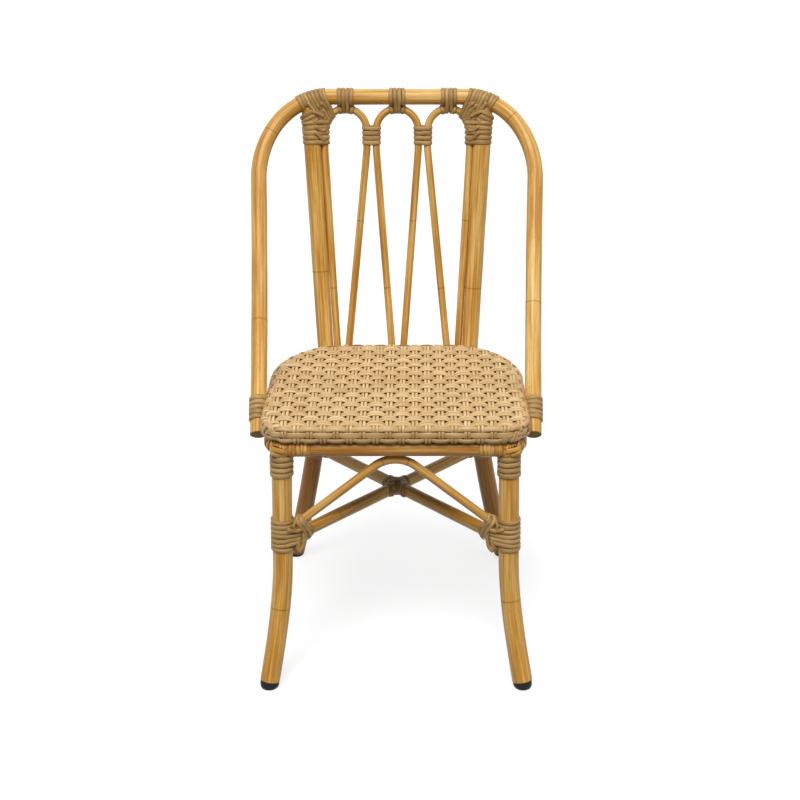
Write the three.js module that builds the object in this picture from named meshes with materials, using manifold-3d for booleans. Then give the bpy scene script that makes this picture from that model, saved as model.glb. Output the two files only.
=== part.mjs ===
// A rattan bistro chair: bent cane poles, wound cane lashings, a woven seat panel and four plastic feet.
// Millimetres, +Z up. The sitter faces -Y, +X is to the right of someone who looks at the chair's front,
// and the group is centred on the floor under its own bounding box.
import * as THREE from "three";
import { mergeVertices } from "three/addons/utils/BufferGeometryUtils.js";
import Module from "manifold-3d";

// Fits
const seatGap = 0.3;
const weldDistance = 0.001;
const cutOverrun = 6;

// Seat panel, woven over a stiff body, and the ring pole under it
const seatTop = 461;
const padThickness = 36;
const padHalfWidth = 212;
const padFront = 222;
const padRear = 178;
const padFrontCorner = 48;
const padRearCornerWidth = 125;
const padRearCornerDepth = 165;
const padEdgeRound = 9;
const padOverhang = 4;
const ringRadius = 12.5;
const ringButtGap = 0.6;

// The weave's relief: beside each warp that comes up, the weft dives and leaves a pit on both sides
const warpPitch = 20.5;
const weftPitch = 21;
const weftFirst = 14;
const pitInner = 5;
const pitOuter = 9.8;
const pitHalfLength = 9;
const pitDepth = 2.9;
const pitBottomShare = 0.3;

// Hoop: one pole from the left side of the seat over the crest to the right side
const hoopRadius = 13.5;
const crestHeight = 886.5;
const crestBack = 248;
const shoulderWidth = 119.4;
const hoopHalfWidth = 237.4;
const shoulderDrop = 124;
const armBack = -83;
const armLean = THREE.MathUtils.degToRad(46);
const armEndDrop = 53;

// Rear poles: a leg below the seat and a back post above it, in one piece
const rearLegRadius = 16.4;
const postRadius = 14.3;
const postSeatX = 128.9;
const postTopX = 153.8;
const postTopShare = 0.5;
const rearFootX = 201;
const rearFootBack = 262;
const rearBowX = 11.5;
const rearBowBack = 21;

// Front legs: straight to the knee, then flared outwards and forwards to the foot
const frontLegRadius = 16.3;
const frontLegInset = 32.5;
const frontLegSetback = 23;
const kneeHeight = 232;
const kneeOut = 3;
const frontFlare = 41;
const frontFlareTwist = THREE.MathUtils.degToRad(48);

// Feet: plugs with a stem that is pressed into the leg
const footRadius = 14.5;
const footFlat = 10;
const footRound = 5;
const footHeight = 11.5;
const footStemRadius = 4;
const footStemLength = 16;

// Thin canes of the back, each bent to a hairpin
const caneRadius = 6.4;
const postCaneGap = 6.9;
const forkGap = 3.6;
const forkDrop = 89.5;
const caneFootGap = 0.9;
const postFootGap = 2.6;
const caneFootBelowRing = 4;

// Crossed stretchers, and the arch brace whose heels turn down beside the front legs
const stretcherRadius = 10.5;
const stretcherDrop = 160.5;
const archRadius = 7;
const archBend = 53;
const archHeelBend = 14;
const archHeelRise = 23.5;
const archHeelLength = 40;
const heelShares = [0, 0.2, 0.35, 0.5, 0.65, 0.8, 0.9, 1];

// Lashings: flat cane strands with a domed face
const strandThickness = 3;
const strandCrownShare = 0.55;
const narrowWidth = 6.6;
const narrowGap = 0.75;
const wideWidth = 7.8;
const wideGap = 0.6;
const spreadWidth = 7.2;
const spreadGap = 1.8;
const lashEndGap = 1;
const postLashGap = 10.5;
const forkLashDrop = 72.5;
const legUpperLashRise = 13;
const ringFrontShare = 0.35;
const crossLashStart = 17.5;
const narrow = { width: narrowWidth, pitch: narrowWidth + narrowGap };
const wide = { width: wideWidth, pitch: wideWidth + wideGap };
const spread = { width: spreadWidth, pitch: spreadWidth + spreadGap };

// Turns of each lashing
const crestLash = { ...narrow, loops: 3 };
const cornerOuterLash = { ...narrow, loops: 1 };
const cornerInnerLash = { ...spread, loops: 2 };
const postLash = { ...narrow, loops: 6 };
const forkLash = { ...narrow, loops: 3 };
const hoopEndLash = { ...narrow, loops: 5 };
const legTopLash = { ...narrow, loops: 4 };
const legUpperLash = { ...narrow, loops: 1 };
const legMidLash = { ...narrow, loops: 4 };
const ringLash = { ...narrow, loops: 3 };
const archEndLash = { ...narrow, loops: 1 };
const stretcherFrontLash = { ...narrow, loops: 4 };
const stretcherRearLash = { ...narrow, loops: 2 };
const crossLash = { ...narrow, loops: 2 };
const rearLegLash = { ...wide, loops: 3 };

// Screws inside the joints
const screwRadius = 2.2;
const screwHeadRadius = 4.4;
const screwHeadHeight = 2.4;
const screwSink = 1;
const screwBite = 24;
const crossScrewCover = 3;

// Facet counts
const poleSides = 12;
const thinSides = 8;
const turnSteps = 10;
const hullSteps = 9;
const halvings = 40;
const settlings = 6;
const cornerSteps = 6;
const screwSides = 6;

const ringHeight = seatTop - padThickness - ringRadius;
const ringInset = padOverhang + ringRadius;
const frontLegX = padHalfWidth - frontLegInset;
const frontLegFront = padFront - frontLegSetback;
const stretcherHeight = ringHeight - stretcherDrop;
const archHeelHeight = stretcherHeight + archHeelRise;
const lashBuild = (radius) => wrapRadius(radius) - radius + strandThickness;
const spanOf = (lash) => lash.loops * lash.pitch + lash.width;

// Three hairpins of one radius fill the width between the posts
const hairpinRoom = postTopX - postRadius - postCaneGap - caneRadius;
const hairpinRadius = (hairpinRoom - forkGap - 2 * caneRadius) / 3;
const hairpinX = hairpinRoom - hairpinRadius;
const archedHeight = crestHeight - hoopRadius - caneRadius - seatGap - hairpinRadius;
const forkHeight = crestHeight - forkDrop;
const caneFootInner = caneRadius + caneFootGap;
const caneFootOuter = postSeatX - postRadius - postFootGap - caneRadius;
const caneFootMiddle = caneFootOuter - 2 * caneRadius - caneFootGap;

const caneColour = new THREE.MeshStandardMaterial({ color: 0xc8963e, roughness: 0.42, metalness: 0 });
const strandColour = new THREE.MeshStandardMaterial({ color: 0xa8895a, roughness: 0.6, metalness: 0 });
const weaveColour = new THREE.MeshStandardMaterial({ color: 0xcfae74, roughness: 0.65, metalness: 0 });
const footColour = new THREE.MeshStandardMaterial({ color: 0x17171a, roughness: 0.5, metalness: 0 });
const screwColour = new THREE.MeshStandardMaterial({ color: 0x9a9a9a, roughness: 0.35, metalness: 1 });

const wasm = await Module();
wasm.setup();

const chair = new THREE.Group();
const sides = [
  { name: "left", sign: -1 },
  { name: "right", sign: 1 },
];

// A centre line through chosen stations, one extrusion step between each two
class Spine extends THREE.Curve {
  constructor(stations) {
    super();
    this.stations = stations;
    this.lengths = [0];
    for (let i = 1; i < stations.length; i++) {
      this.lengths.push(this.lengths[i - 1] + stations[i].distanceTo(stations[i - 1]));
    }
  }

  get total() {
    return this.lengths[this.lengths.length - 1];
  }

  getUtoTmapping(share) {
    return share;
  }

  getPoint(share, target = new THREE.Vector3()) {
    const place = share * (this.stations.length - 1);
    const index = Math.max(0, Math.min(Math.floor(place), this.stations.length - 2));
    return target.lerpVectors(this.stations[index], this.stations[index + 1], place - index);
  }

  getTangent(share, target = new THREE.Vector3()) {
    const last = this.stations.length - 1;
    const place = share * last;
    const index = Math.max(0, Math.min(Math.floor(place), last - 1));
    const blend = place - index;
    return target.copy(this.stationTangent(index)).lerp(this.stationTangent(index + 1), blend).normalize();
  }

  stationTangent(index) {
    const last = this.stations.length - 1;
    const tangent = new THREE.Vector3();
    if (index > 0) tangent.add(this.stepDirection(index - 1));
    if (index < last) tangent.add(this.stepDirection(index));
    return tangent.normalize();
  }

  stepDirection(index) {
    return this.stations[index + 1].clone().sub(this.stations[index]).normalize();
  }

  shareAt(length) {
    const last = this.stations.length - 1;
    let index = 0;
    while (index < last - 1 && this.lengths[index + 1] < length) index++;
    const step = this.lengths[index + 1] - this.lengths[index];
    return (index + (length - this.lengths[index]) / step) / last;
  }

  at(length) {
    const share = this.shareAt(length);
    return { point: this.getPoint(share), tangent: this.getTangent(share) };
  }

  // The length at which a coordinate that only rises or only falls between two lengths has a value
  lengthWhere(axis, value, from = 0, to = this.total) {
    const rises = this.at(to).point[axis] > this.at(from).point[axis];
    let low = from;
    let high = to;
    for (let i = 0; i < halvings; i++) {
      const middle = (low + high) / 2;
      if (this.at(middle).point[axis] < value === rises) low = middle;
      else high = middle;
    }
    return (low + high) / 2;
  }
}

function add(name, geometry, material) {
  const mesh = new THREE.Mesh(geometry, material);
  mesh.name = name;
  chair.add(mesh);
  return mesh;
}

function roundShape(radius, count) {
  const points = [];
  for (let i = 0; i < count; i++) {
    const angle = (2 * Math.PI * (i + 0.5)) / count;
    points.push(new THREE.Vector2(radius * Math.cos(angle), radius * Math.sin(angle)));
  }
  return new THREE.Shape(points);
}

function tube(spine, radius, count = poleSides) {
  return new THREE.ExtrudeGeometry(roundShape(radius, count), {
    steps: spine.stations.length - 1,
    extrudePath: spine,
    bevelEnabled: false,
  });
}

// A pole with a radius of its own at each station
function taperedTube(spine, radii, count = poleSides) {
  const frames = spine.computeFrenetFrames(radii.length - 1, false);
  const rows = spine.stations.map((station, i) => {
    return Array.from({ length: count }, (_, k) => {
      const angle = (2 * Math.PI * k) / count;
      return station
        .clone()
        .addScaledVector(frames.normals[i], radii[i] * Math.cos(angle))
        .addScaledVector(frames.binormals[i], radii[i] * Math.sin(angle));
    });
  });
  return bandGeometry(rows);
}

// A tube that clears a pole of this radius all round, for a cut
function clearTube(spine, radius, count = poleSides) {
  return tube(spine, (radius + seatGap) / Math.cos(Math.PI / count), count);
}

function solidOf(geometry) {
  const bare = geometry.index ? geometry.toNonIndexed() : geometry.clone();
  bare.deleteAttribute("normal");
  bare.deleteAttribute("uv");
  const merged = mergeVertices(bare, weldDistance);
  return new wasm.Manifold(
    new wasm.Mesh({
      numProp: 3,
      vertProperties: merged.attributes.position.array,
      triVerts: merged.index.array,
    }),
  );
}

function geometryOf(solid) {
  const mesh = solid.getMesh();
  const positions = new Float32Array(mesh.numVert * 3);
  for (let i = 0; i < mesh.numVert; i++) {
    positions.set(mesh.vertProperties.subarray(i * mesh.numProp, i * mesh.numProp + 3), i * 3);
  }
  const geometry = new THREE.BufferGeometry();
  geometry.setAttribute("position", new THREE.BufferAttribute(positions, 3));
  geometry.setIndex(new THREE.BufferAttribute(new Uint32Array(mesh.triVerts), 1));
  geometry.computeVertexNormals();
  return geometry;
}

function cut(geometry, tools) {
  let solid = solidOf(geometry);
  for (const tool of tools) solid = solid.subtract(solidOf(tool));
  return geometryOf(solid);
}

// Everything under a level, as a cutter
function floorBlock(level) {
  const span = padHalfWidth * 4;
  const depth = ringHeight;
  const block = new THREE.BoxGeometry(span, span, depth);
  return block.translate(0, 0, level - depth / 2);
}

// Seat outline: straight sides, round front corners and wide elliptic rear corners
function seatOutline(inset) {
  const frontX = padHalfWidth - padFrontCorner;
  const frontY = -padFront + padFrontCorner;
  const rearX = padHalfWidth - padRearCornerWidth;
  const rearY = padRear - padRearCornerDepth;
  const frontR = padFrontCorner - inset;
  const rearW = padRearCornerWidth - inset;
  const rearD = padRearCornerDepth - inset;
  const points = [];
  const arc = (x, y, w, d, start) => {
    for (let i = 0; i <= cornerSteps; i++) {
      const angle = start + (i * Math.PI) / 2 / cornerSteps;
      points.push(new THREE.Vector2(x + w * Math.cos(angle), y + d * Math.sin(angle)));
    }
  };
  arc(-rearX, rearY, rearW, rearD, Math.PI / 2);
  arc(-frontX, frontY, frontR, frontR, Math.PI);
  arc(frontX, frontY, frontR, frontR, Math.PI * 1.5);
  arc(rearX, rearY, rearW, rearD, 0);
  return points;
}

// How far back the centre of an upright pole lies that rests on the rear of the ring at this x
function behindRing(x, radius) {
  const out = radius + seatGap * 2 - padOverhang;
  const width = padRearCornerWidth + out;
  const depth = padRearCornerDepth + out;
  const share = Math.max(0, Math.abs(x) - padHalfWidth + padRearCornerWidth) / width;
  return padRear - padRearCornerDepth + depth * Math.sqrt(1 - share * share);
}

function ringSpine() {
  const flat = seatOutline(ringInset);
  const rear = padRear - ringInset;
  const stations = [new THREE.Vector3(-ringButtGap / 2, rear, ringHeight)];
  for (const p of flat) stations.push(new THREE.Vector3(p.x, p.y, ringHeight));
  stations.push(new THREE.Vector3(ringButtGap / 2, rear, ringHeight));
  return new Spine(stations);
}

// The hoop leans back in a curve: steep at the seat, nearer upright at the crest
function hoopBack(z) {
  const rise = crestHeight - seatTop;
  const height = z - seatTop;
  const straight = Math.tan(armLean);
  const curl = (armBack + rise * straight - crestBack) / (rise * rise);
  return armBack + height * straight - curl * height * height;
}

function hoopStation(x, z) {
  return new THREE.Vector3(x, hoopBack(z), z);
}

function hoopSpine() {
  const armSteps = 7;
  const shoulderSteps = 10;
  const endHeight = seatTop - armEndDrop;
  const shoulderHeight = crestHeight - shoulderDrop;
  const endX = padHalfWidth - padOverhang + seatGap + hoopRadius;
  const half = [];
  for (let i = 0; i < armSteps; i++) {
    const share = i / armSteps;
    const x = endX + (hoopHalfWidth - endX) * share;
    half.push([x, endHeight + (shoulderHeight - endHeight) * share]);
  }
  for (let i = 0; i <= shoulderSteps; i++) {
    const angle = (i * Math.PI) / 2 / shoulderSteps;
    const x = hoopHalfWidth - shoulderWidth * (1 - Math.cos(angle));
    half.push([x, shoulderHeight + shoulderDrop * Math.sin(angle)]);
  }
  const stations = half.map(([x, z]) => hoopStation(-x, z));
  for (const [x, z] of half.reverse()) stations.push(hoopStation(x, z));
  return new Spine(stations);
}

// A rear pole from below the floor to the middle of the hoop: a bowed leg and a straight post
function rearSpine(sign, hoop) {
  const legSteps = 7;
  const postSteps = 3;
  const seatY = behindRing(postSeatX, postRadius);
  const top = hoop.at(hoop.lengthWhere("x", sign * postTopX)).point;
  top.z -= hoopRadius * postTopShare;
  const bendZ = ringHeight + ringRadius;
  const stations = [];
  for (let i = -1; i <= legSteps; i++) {
    const share = i / legSteps;
    const bow = 4 * share * (1 - share);
    const x = rearFootX + (postSeatX - rearFootX) * share - (rearBowX * bow) / 2;
    const y = rearFootBack + (seatY - rearFootBack) * share - (rearBowBack * bow) / 2;
    stations.push(new THREE.Vector3(sign * x, y, bendZ * share));
  }
  stations[stations.length - 1].z -= ringRadius;
  const seat = new THREE.Vector3(sign * postSeatX, seatY + seatGap, bendZ + ringRadius * 2);
  for (let i = 0; i <= postSteps; i++) stations.push(seat.clone().lerp(top, i / postSteps));
  return new Spine(stations);
}

// The pole tapers from the leg's radius at the lashing of the stretchers to the post's at the ring
function rearRadii(spine) {
  const taperEnd = ringHeight - ringRadius;
  return spine.stations.map(({ z }) => {
    const share = THREE.MathUtils.clamp((z - stretcherHeight) / (taperEnd - stretcherHeight), 0, 1);
    return rearLegRadius + (postRadius - rearLegRadius) * share;
  });
}

// A front leg from below the floor to the middle of the ring
function frontSpine(sign) {
  const flareSteps = 8;
  const flareX = frontFlare * Math.cos(frontFlareTwist);
  const flareY = frontFlare * Math.sin(frontFlareTwist);
  const kneeX = frontLegX + kneeOut;
  const kneeY = -frontLegFront - kneeOut;
  const stations = [];
  for (let i = -1; i <= flareSteps; i++) {
    const share = 1 - i / flareSteps;
    const out = share * share * (3 - share) / 2;
    const x = kneeX + flareX * out;
    stations.push(new THREE.Vector3(sign * x, kneeY - flareY * out, kneeHeight * (1 - share)));
  }
  stations.push(new THREE.Vector3(sign * frontLegX, -frontLegFront, ringHeight));
  return new Spine(stations);
}

// A hairpin cane whose two ends stand behind the ring, with a round top under the crest
function hairpinSpine(middleX, footLeft, footRight) {
  const archSteps = 8;
  const topZ = archedHeight + hairpinRadius;
  const footZ = ringHeight - caneFootBelowRing;
  const leanAt = (x, z) => {
    const foot = behindRing(x, caneRadius);
    return foot + ((crestBack - foot) * (z - ringHeight)) / (topZ - ringHeight);
  };
  const station = (x, z) => new THREE.Vector3(x, leanAt(x, z), z);
  const stations = [station(footLeft, footZ), station(middleX - hairpinRadius, forkHeight)];
  for (let i = 0; i <= archSteps; i++) {
    const angle = Math.PI * (1 - i / archSteps);
    const x = middleX + hairpinRadius * Math.cos(angle);
    stations.push(station(x, archedHeight + hairpinRadius * Math.sin(angle)));
  }
  stations.push(station(middleX + hairpinRadius, forkHeight), station(footRight, footZ));
  return new Spine(stations);
}

// A straight stretcher from a front leg to the opposite rear leg
function stretcherSpine(frontLeg, rearPole) {
  const front = frontLeg.at(frontLeg.lengthWhere("z", stretcherHeight)).point;
  const rear = rearPole.at(rearPole.lengthWhere("z", stretcherHeight)).point;
  return new Spine([front, rear]);
}

// The arch brace: two straight arms between a round bend under the ring's front and the heels
function archSpine(rightLeg) {
  const bendSteps = 3;
  const heelSteps = 3;
  const topZ = ringHeight - ringRadius - seatGap - archRadius;
  const heelX = besideLeg(rightLeg) - archHeelBend;
  const fall = topZ - archBend - archHeelHeight;
  const span = Math.hypot(heelX, fall);
  const slope = Math.atan2(heelX, -fall) - Math.acos((archBend - archHeelBend) / span);
  const half = [];
  for (let i = 0; i <= bendSteps; i++) {
    const angle = (slope * i) / bendSteps;
    half.push([archBend * Math.sin(angle), topZ - archBend * (1 - Math.cos(angle))]);
  }
  for (let i = 0; i <= heelSteps; i++) {
    const angle = slope + ((Math.PI / 2 - slope) * i) / heelSteps;
    half.push([heelX + archHeelBend * Math.sin(angle), archHeelHeight + archHeelBend * Math.cos(angle)]);
  }
  half.push([heelX + archHeelBend, archHeelHeight - archHeelLength]);
  const right = half.map(([x, z]) => new THREE.Vector3(x, -frontLegFront, z));
  const left = half.slice(1).map(([x, z]) => new THREE.Vector3(-x, -frontLegFront, z));
  return new Spine([...left.reverse(), ...right]);
}

// How far out the middle of the brace's heel stands beside a leg
function besideLeg(leg) {
  return leg.at(leg.lengthWhere("z", archHeelHeight)).point.x - frontLegRadius - seatGap - archRadius;
}

function wrapRadius(radius) {
  return (radius + seatGap) / Math.cos(Math.PI / turnSteps);
}

// Where one turn lies round a single pole
function roundOutline(radius) {
  const r = wrapRadius(radius);
  return Array.from({ length: turnSteps }, (_, i) => {
    const angle = (2 * Math.PI * i) / turnSteps;
    return { x: r * Math.cos(angle), y: r * Math.sin(angle), angle };
  });
}

// Where one turn lies round a pole and a partner at a distance along x
function pairOutline(radius, partnerRadius, distance, farSteps) {
  const tangentAngle = Math.acos((radius - partnerRadius) / distance);
  const spots = [];
  const arc = (centre, r, start, end, steps) => {
    const reach = (r + seatGap) / Math.cos((end - start) / steps / 2);
    for (let i = 0; i <= steps; i++) {
      const angle = start + ((end - start) * i) / steps;
      spots.push({ x: centre + reach * Math.cos(angle), y: reach * Math.sin(angle), angle });
    }
  };
  arc(distance, partnerRadius, -tangentAngle, tangentAngle, farSteps);
  arc(0, radius, tangentAngle, 2 * Math.PI - tangentAngle, hullSteps - farSteps);
  return spots;
}

// A lashing: one unbroken strand wound round a pole, and round its partner where it has one.
// place is its middle along the spine, partner gives the other pole's station beside a point,
// and side is the direction from which the turns of a single pole start.
function addLashing(name, lash, { spine, place, radius, side, partner, partnerRadius }) {
  const perLoop = partner ? hullSteps + 2 : turnSteps;
  const contactShare = partner && (radius - partnerRadius) / (radius + partnerRadius);
  const farSteps = partner && Math.round((hullSteps * Math.acos(contactShare)) / Math.PI);
  const half = lash.width / 2;
  const rows = [];
  const partnerReach = (slantShare) => partnerRadius / slantShare + half * Math.tan(Math.acos(slantShare));
  for (let i = 0; i <= lash.loops * perLoop; i++) {
    const { point, tangent } = spine.at(place + (i / perLoop - lash.loops / 2) * lash.pitch);
    const other = partner && partner(point);
    const toward = partner ? other.point.sub(point) : side.clone();
    const u = toward.addScaledVector(tangent, -toward.dot(tangent));
    const distance = u.length();
    u.normalize();
    const v = tangent.clone().cross(u);
    const outline = partner
      ? pairOutline(radius, partnerReach(Math.abs(other.tangent.dot(tangent))), distance, farSteps)
      : roundOutline(radius);
    const spot = outline[i % perLoop];
    const outward = u.clone().multiplyScalar(Math.cos(spot.angle)).addScaledVector(v, Math.sin(spot.angle));
    const base = point.clone().addScaledVector(u, spot.x).addScaledVector(v, spot.y);
    const crown = base.clone().addScaledVector(outward, strandThickness);
    rows.push([
      base.clone().addScaledVector(tangent, -half),
      base.clone().addScaledVector(tangent, half),
      crown.clone().addScaledVector(tangent, half * strandCrownShare),
      crown.clone().addScaledVector(tangent, -half * strandCrownShare),
    ]);
  }
  console.log(name + " least gap to itself " + leastGap(rows, perLoop).toFixed(2) + " mm");
  return add(name, bandGeometry(rows), strandColour);
}

// The least distance between points of one turn and points of another
function leastGap(rows, perLoop) {
  let least = Infinity;
  rows.forEach((row, i) => {
    for (let j = i + Math.ceil(perLoop / 2); j < rows.length; j++) {
      for (const a of row) for (const b of rows[j]) least = Math.min(least, a.distanceTo(b));
    }
  });
  return least;
}

// A closed band through rows of section corners
function bandGeometry(rows) {
  const count = rows[0].length;
  const positions = rows.flatMap((row) => row.flatMap((p) => [p.x, p.y, p.z]));
  const index = [];
  for (let i = 0; i + 1 < rows.length; i++) {
    for (let k = 0; k < count; k++) {
      const a = i * count + k;
      const b = i * count + ((k + 1) % count);
      index.push(a, b, b + count, a, b + count, a + count);
    }
  }
  const last = (rows.length - 1) * count;
  for (let k = 1; k + 1 < count; k++) {
    index.push(0, k + 1, k);
    index.push(last, last + k, last + k + 1);
  }
  const geometry = new THREE.BufferGeometry();
  geometry.setAttribute("position", new THREE.Float32BufferAttribute(positions, 3));
  geometry.setIndex(index);
  geometry.computeVertexNormals();
  return geometry;
}

// A countersunk screw from its head towards its tip, or the hole that it lies in
function screwGeometry(head, tip, clearance) {
  const length = head.distanceTo(tip) + clearance;
  const shank = screwRadius + clearance;
  const rim = screwHeadRadius + clearance;
  const profile = [
    [0, -length],
    [shank, -length],
    [shank, -screwHeadHeight - clearance],
    [rim, -clearance / 2],
    [rim, clearance ? cutOverrun : screwSink / 2],
    [0, clearance ? cutOverrun : screwSink / 2],
  ];
  const points = profile.map(([x, y]) => new THREE.Vector2(x, y));
  const geometry = new THREE.LatheGeometry(points, screwSides);
  const up = head.clone().sub(tip).normalize();
  geometry.applyQuaternion(new THREE.Quaternion().setFromUnitVectors(new THREE.Vector3(0, 1, 0), up));
  return geometry.translate(head.x, head.y, head.z);
}

function addScrew(name, head, tip) {
  add(name, screwGeometry(head, tip, 0), screwColour);
  return screwGeometry(head, tip, seatGap);
}

// Centre lines
const ring = ringSpine();
const hoop = hoopSpine();
const rearPoles = sides.map(({ sign }) => rearSpine(sign, hoop));
const frontLegs = sides.map(({ sign }) => frontSpine(sign));
const arch = archSpine(frontLegs[1]);
const hairpins = [
  hairpinSpine(-hairpinX, -caneFootOuter, -caneFootMiddle),
  hairpinSpine(0, -caneFootInner, caneFootInner),
  hairpinSpine(hairpinX, caneFootMiddle, caneFootOuter),
];
const stretchers = [stretcherSpine(frontLegs[0], rearPoles[1]), stretcherSpine(frontLegs[1], rearPoles[0])];

// Screws, each with the hole that its pieces share
const legHoles = sides.map(({ name, sign }) => {
  const at = new THREE.Vector3(sign * frontLegX, -frontLegFront, 0);
  const head = at.clone().setZ(ringHeight + ringRadius - screwSink * 2);
  const tip = at.clone().setZ(ringHeight - ringRadius - screwBite);
  return addScrew("leg_screw_" + name, head, tip);
});
const armHoles = sides.map(({ name, sign }) => {
  const arm = sign < 0 ? [0, hoop.total / 2] : [hoop.total / 2, hoop.total];
  const centre = hoop.at(hoop.lengthWhere("z", ringHeight, ...arm)).point;
  const head = centre.clone().add(new THREE.Vector3(sign * (hoopRadius - screwSink), 0, 0));
  const tip = head.clone().sub(new THREE.Vector3(sign * (hoopRadius * 2 + ringRadius), 0, 0));
  return addScrew("arm_screw_" + name, head, tip);
});
const postHoles = sides.map(({ name, sign }, i) => {
  const centre = rearPoles[i].at(rearPoles[i].lengthWhere("z", ringHeight)).point;
  const head = centre.clone().add(new THREE.Vector3(0, postRadius - screwSink, 0));
  const tip = head.clone().sub(new THREE.Vector3(0, postRadius * 2 + ringRadius, 0));
  return addScrew("post_screw_" + name, head, tip);
});
const crestHoles = sides.map(({ name, sign }, i) => {
  const end = rearPoles[i].at(rearPoles[i].total);
  const head = end.point.clone().addScaledVector(end.tangent, hoopRadius - screwSink);
  const tip = end.point.clone().addScaledVector(end.tangent, -hoopRadius - screwBite);
  return addScrew("crest_screw_" + name, head, tip);
});
const crossing = stretchers[0].at(stretchers[0].lengthWhere("x", 0)).point;
const crossHole = addScrew(
  "cross_screw",
  crossing.clone().add(new THREE.Vector3(0, 0, stretcherRadius - screwSink)),
  crossing.clone().sub(new THREE.Vector3(0, 0, stretcherRadius - crossScrewCover)),
);

// Feet and the holes for their stems
function footGeometry(clearance) {
  const stem = footStemRadius + clearance;
  const stemTop = footHeight + footStemLength + clearance;
  const body = [
    [0, 0],
    [footFlat, 0],
    [footRadius, footRound],
    [footRadius, footHeight],
    [stem, footHeight],
    [stem, stemTop],
    [0, stemTop],
  ];
  const hole = [
    [0, 0],
    [stem, 0],
    [stem, stemTop],
    [0, stemTop],
  ];
  const points = (clearance ? hole : body).map(([x, y]) => new THREE.Vector2(x, y));
  return new THREE.LatheGeometry(points, poleSides).rotateX(Math.PI / 2);
}

function addFoot(name, spine) {
  const at = spine.at(spine.lengthWhere("z", footHeight)).point;
  add(name, footGeometry(0).translate(at.x, at.y, 0), footColour);
  return footGeometry(seatGap).translate(at.x, at.y, 0);
}

// Where the heel of the brace begins on one side
function heelTop(sign) {
  return arch.at(sign < 0 ? archHeelLength : arch.total - archHeelLength);
}

// What the lashing round a leg and the heel beside it spans, as a row of round rods
function heelHull(sign, leg) {
  const bottom = arch.at(sign < 0 ? 0 : arch.total).point;
  const top = heelTop(sign).point.lerp(bottom, -legUpperLashRise / archHeelLength);
  const onLeg = (point, share) => leg.at(leg.lengthWhere("z", point.z)).point.lerp(point, share);
  return heelShares.map((share) => {
    const radius = THREE.MathUtils.lerp(frontLegRadius, archRadius, share);
    return { low: onLeg(bottom, share), high: onLeg(top, share), radius: radius + lashBuild(radius) };
  });
}

// How far along a stretcher its lashing clears the one round the leg and the heel
function pastHeel(spine, hull) {
  const start = spine.at(0).point;
  const direction = spine.at(spine.total).point.sub(start).setZ(0).normalize();
  const lashReach = stretcherRadius + lashBuild(stretcherRadius);
  const places = hull.map(({ low, radius }) => {
    const offset = low.clone().sub(start).setZ(0);
    const beside = offset.clone().cross(direction).length();
    return offset.dot(direction) + Math.sqrt(radius ** 2 - Math.max(0, beside - lashReach) ** 2);
  });
  return Math.max(...places) + lashEndGap;
}

// Takes the lower (-1) or upper (1) half of a stretcher away where the other one crosses it
function lapBlock(other, side) {
  const width = 2 * (stretcherRadius + seatGap);
  const reach = width * 2;
  const direction = other.at(other.total).point.sub(other.at(0).point);
  const block = new THREE.BoxGeometry(reach, width, reach).translate(0, 0, (side * (reach - seatGap)) / 2);
  return block.rotateZ(Math.atan2(direction.y, direction.x)).translate(crossing.x, crossing.y, crossing.z);
}

// A pole with its lashing on, as a cutter for what is butted against it
function lashedTube(spine, radius) {
  return clearTube(spine, radius + lashBuild(radius));
}

const legTrim = floorBlock(footHeight + seatGap);
sides.forEach(({ name }, i) => {
  const frontHole = addFoot("foot_front_" + name, frontLegs[i]);
  const frontTools = [clearTube(ring, ringRadius, thinSides), legTrim, frontHole, legHoles[i]];
  add("front_leg_" + name, cut(tube(frontLegs[i], frontLegRadius), frontTools), caneColour);
  const rearHole = addFoot("foot_rear_" + name, rearPoles[i]);
  const rearTools = [clearTube(hoop, hoopRadius), legTrim, rearHole, postHoles[i], crestHoles[i]];
  add("rear_pole_" + name, cut(taperedTube(rearPoles[i], rearRadii(rearPoles[i])), rearTools), caneColour);
});

const legTools = frontLegs.map((leg) => lashedTube(leg, frontLegRadius));
const heelHulls = sides.map(({ sign }, i) => heelHull(sign, frontLegs[i]));
const poleTools = rearPoles.map((pole) => lashedTube(pole, rearLegRadius));
add("seat_ring", cut(tube(ring, ringRadius), [...legHoles, ...armHoles, ...postHoles]), caneColour);
add("hoop_frame", cut(tube(hoop, hoopRadius), [...armHoles, ...crestHoles]), caneColour);
add("front_arch_brace", tube(arch, archRadius, thinSides), caneColour);
["left", "centre", "right"].forEach((name, i) => {
  add("back_cane_" + name, tube(hairpins[i], caneRadius, thinSides), caneColour);
});
["upper", "lower"].forEach((name, i) => {
  const heelTools = heelHulls[i].map(({ low, high, radius }) => clearTube(new Spine([low, high]), radius));
  const lap = lapBlock(stretchers[1 - i], i * 2 - 1);
  const tools = [legTools[i], ...heelTools, poleTools[1 - i], lap, crossHole];
  add("stretcher_" + name, cut(tube(stretchers[i], stretcherRadius), tools), caneColour);
});

// Lashings
const up = new THREE.Vector3(0, 0, 1);
const across = new THREE.Vector3(1, 0, 0);

// Finds a hairpin's left (0) or right (1) leg at the height of a point
function hairpinLeg(cane, leg) {
  const middle = cane.total / 2;
  const [from, to] = leg ? [middle, cane.total] : [0, middle];
  return (point) => cane.at(cane.lengthWhere("z", point.z, from, to));
}

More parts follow.
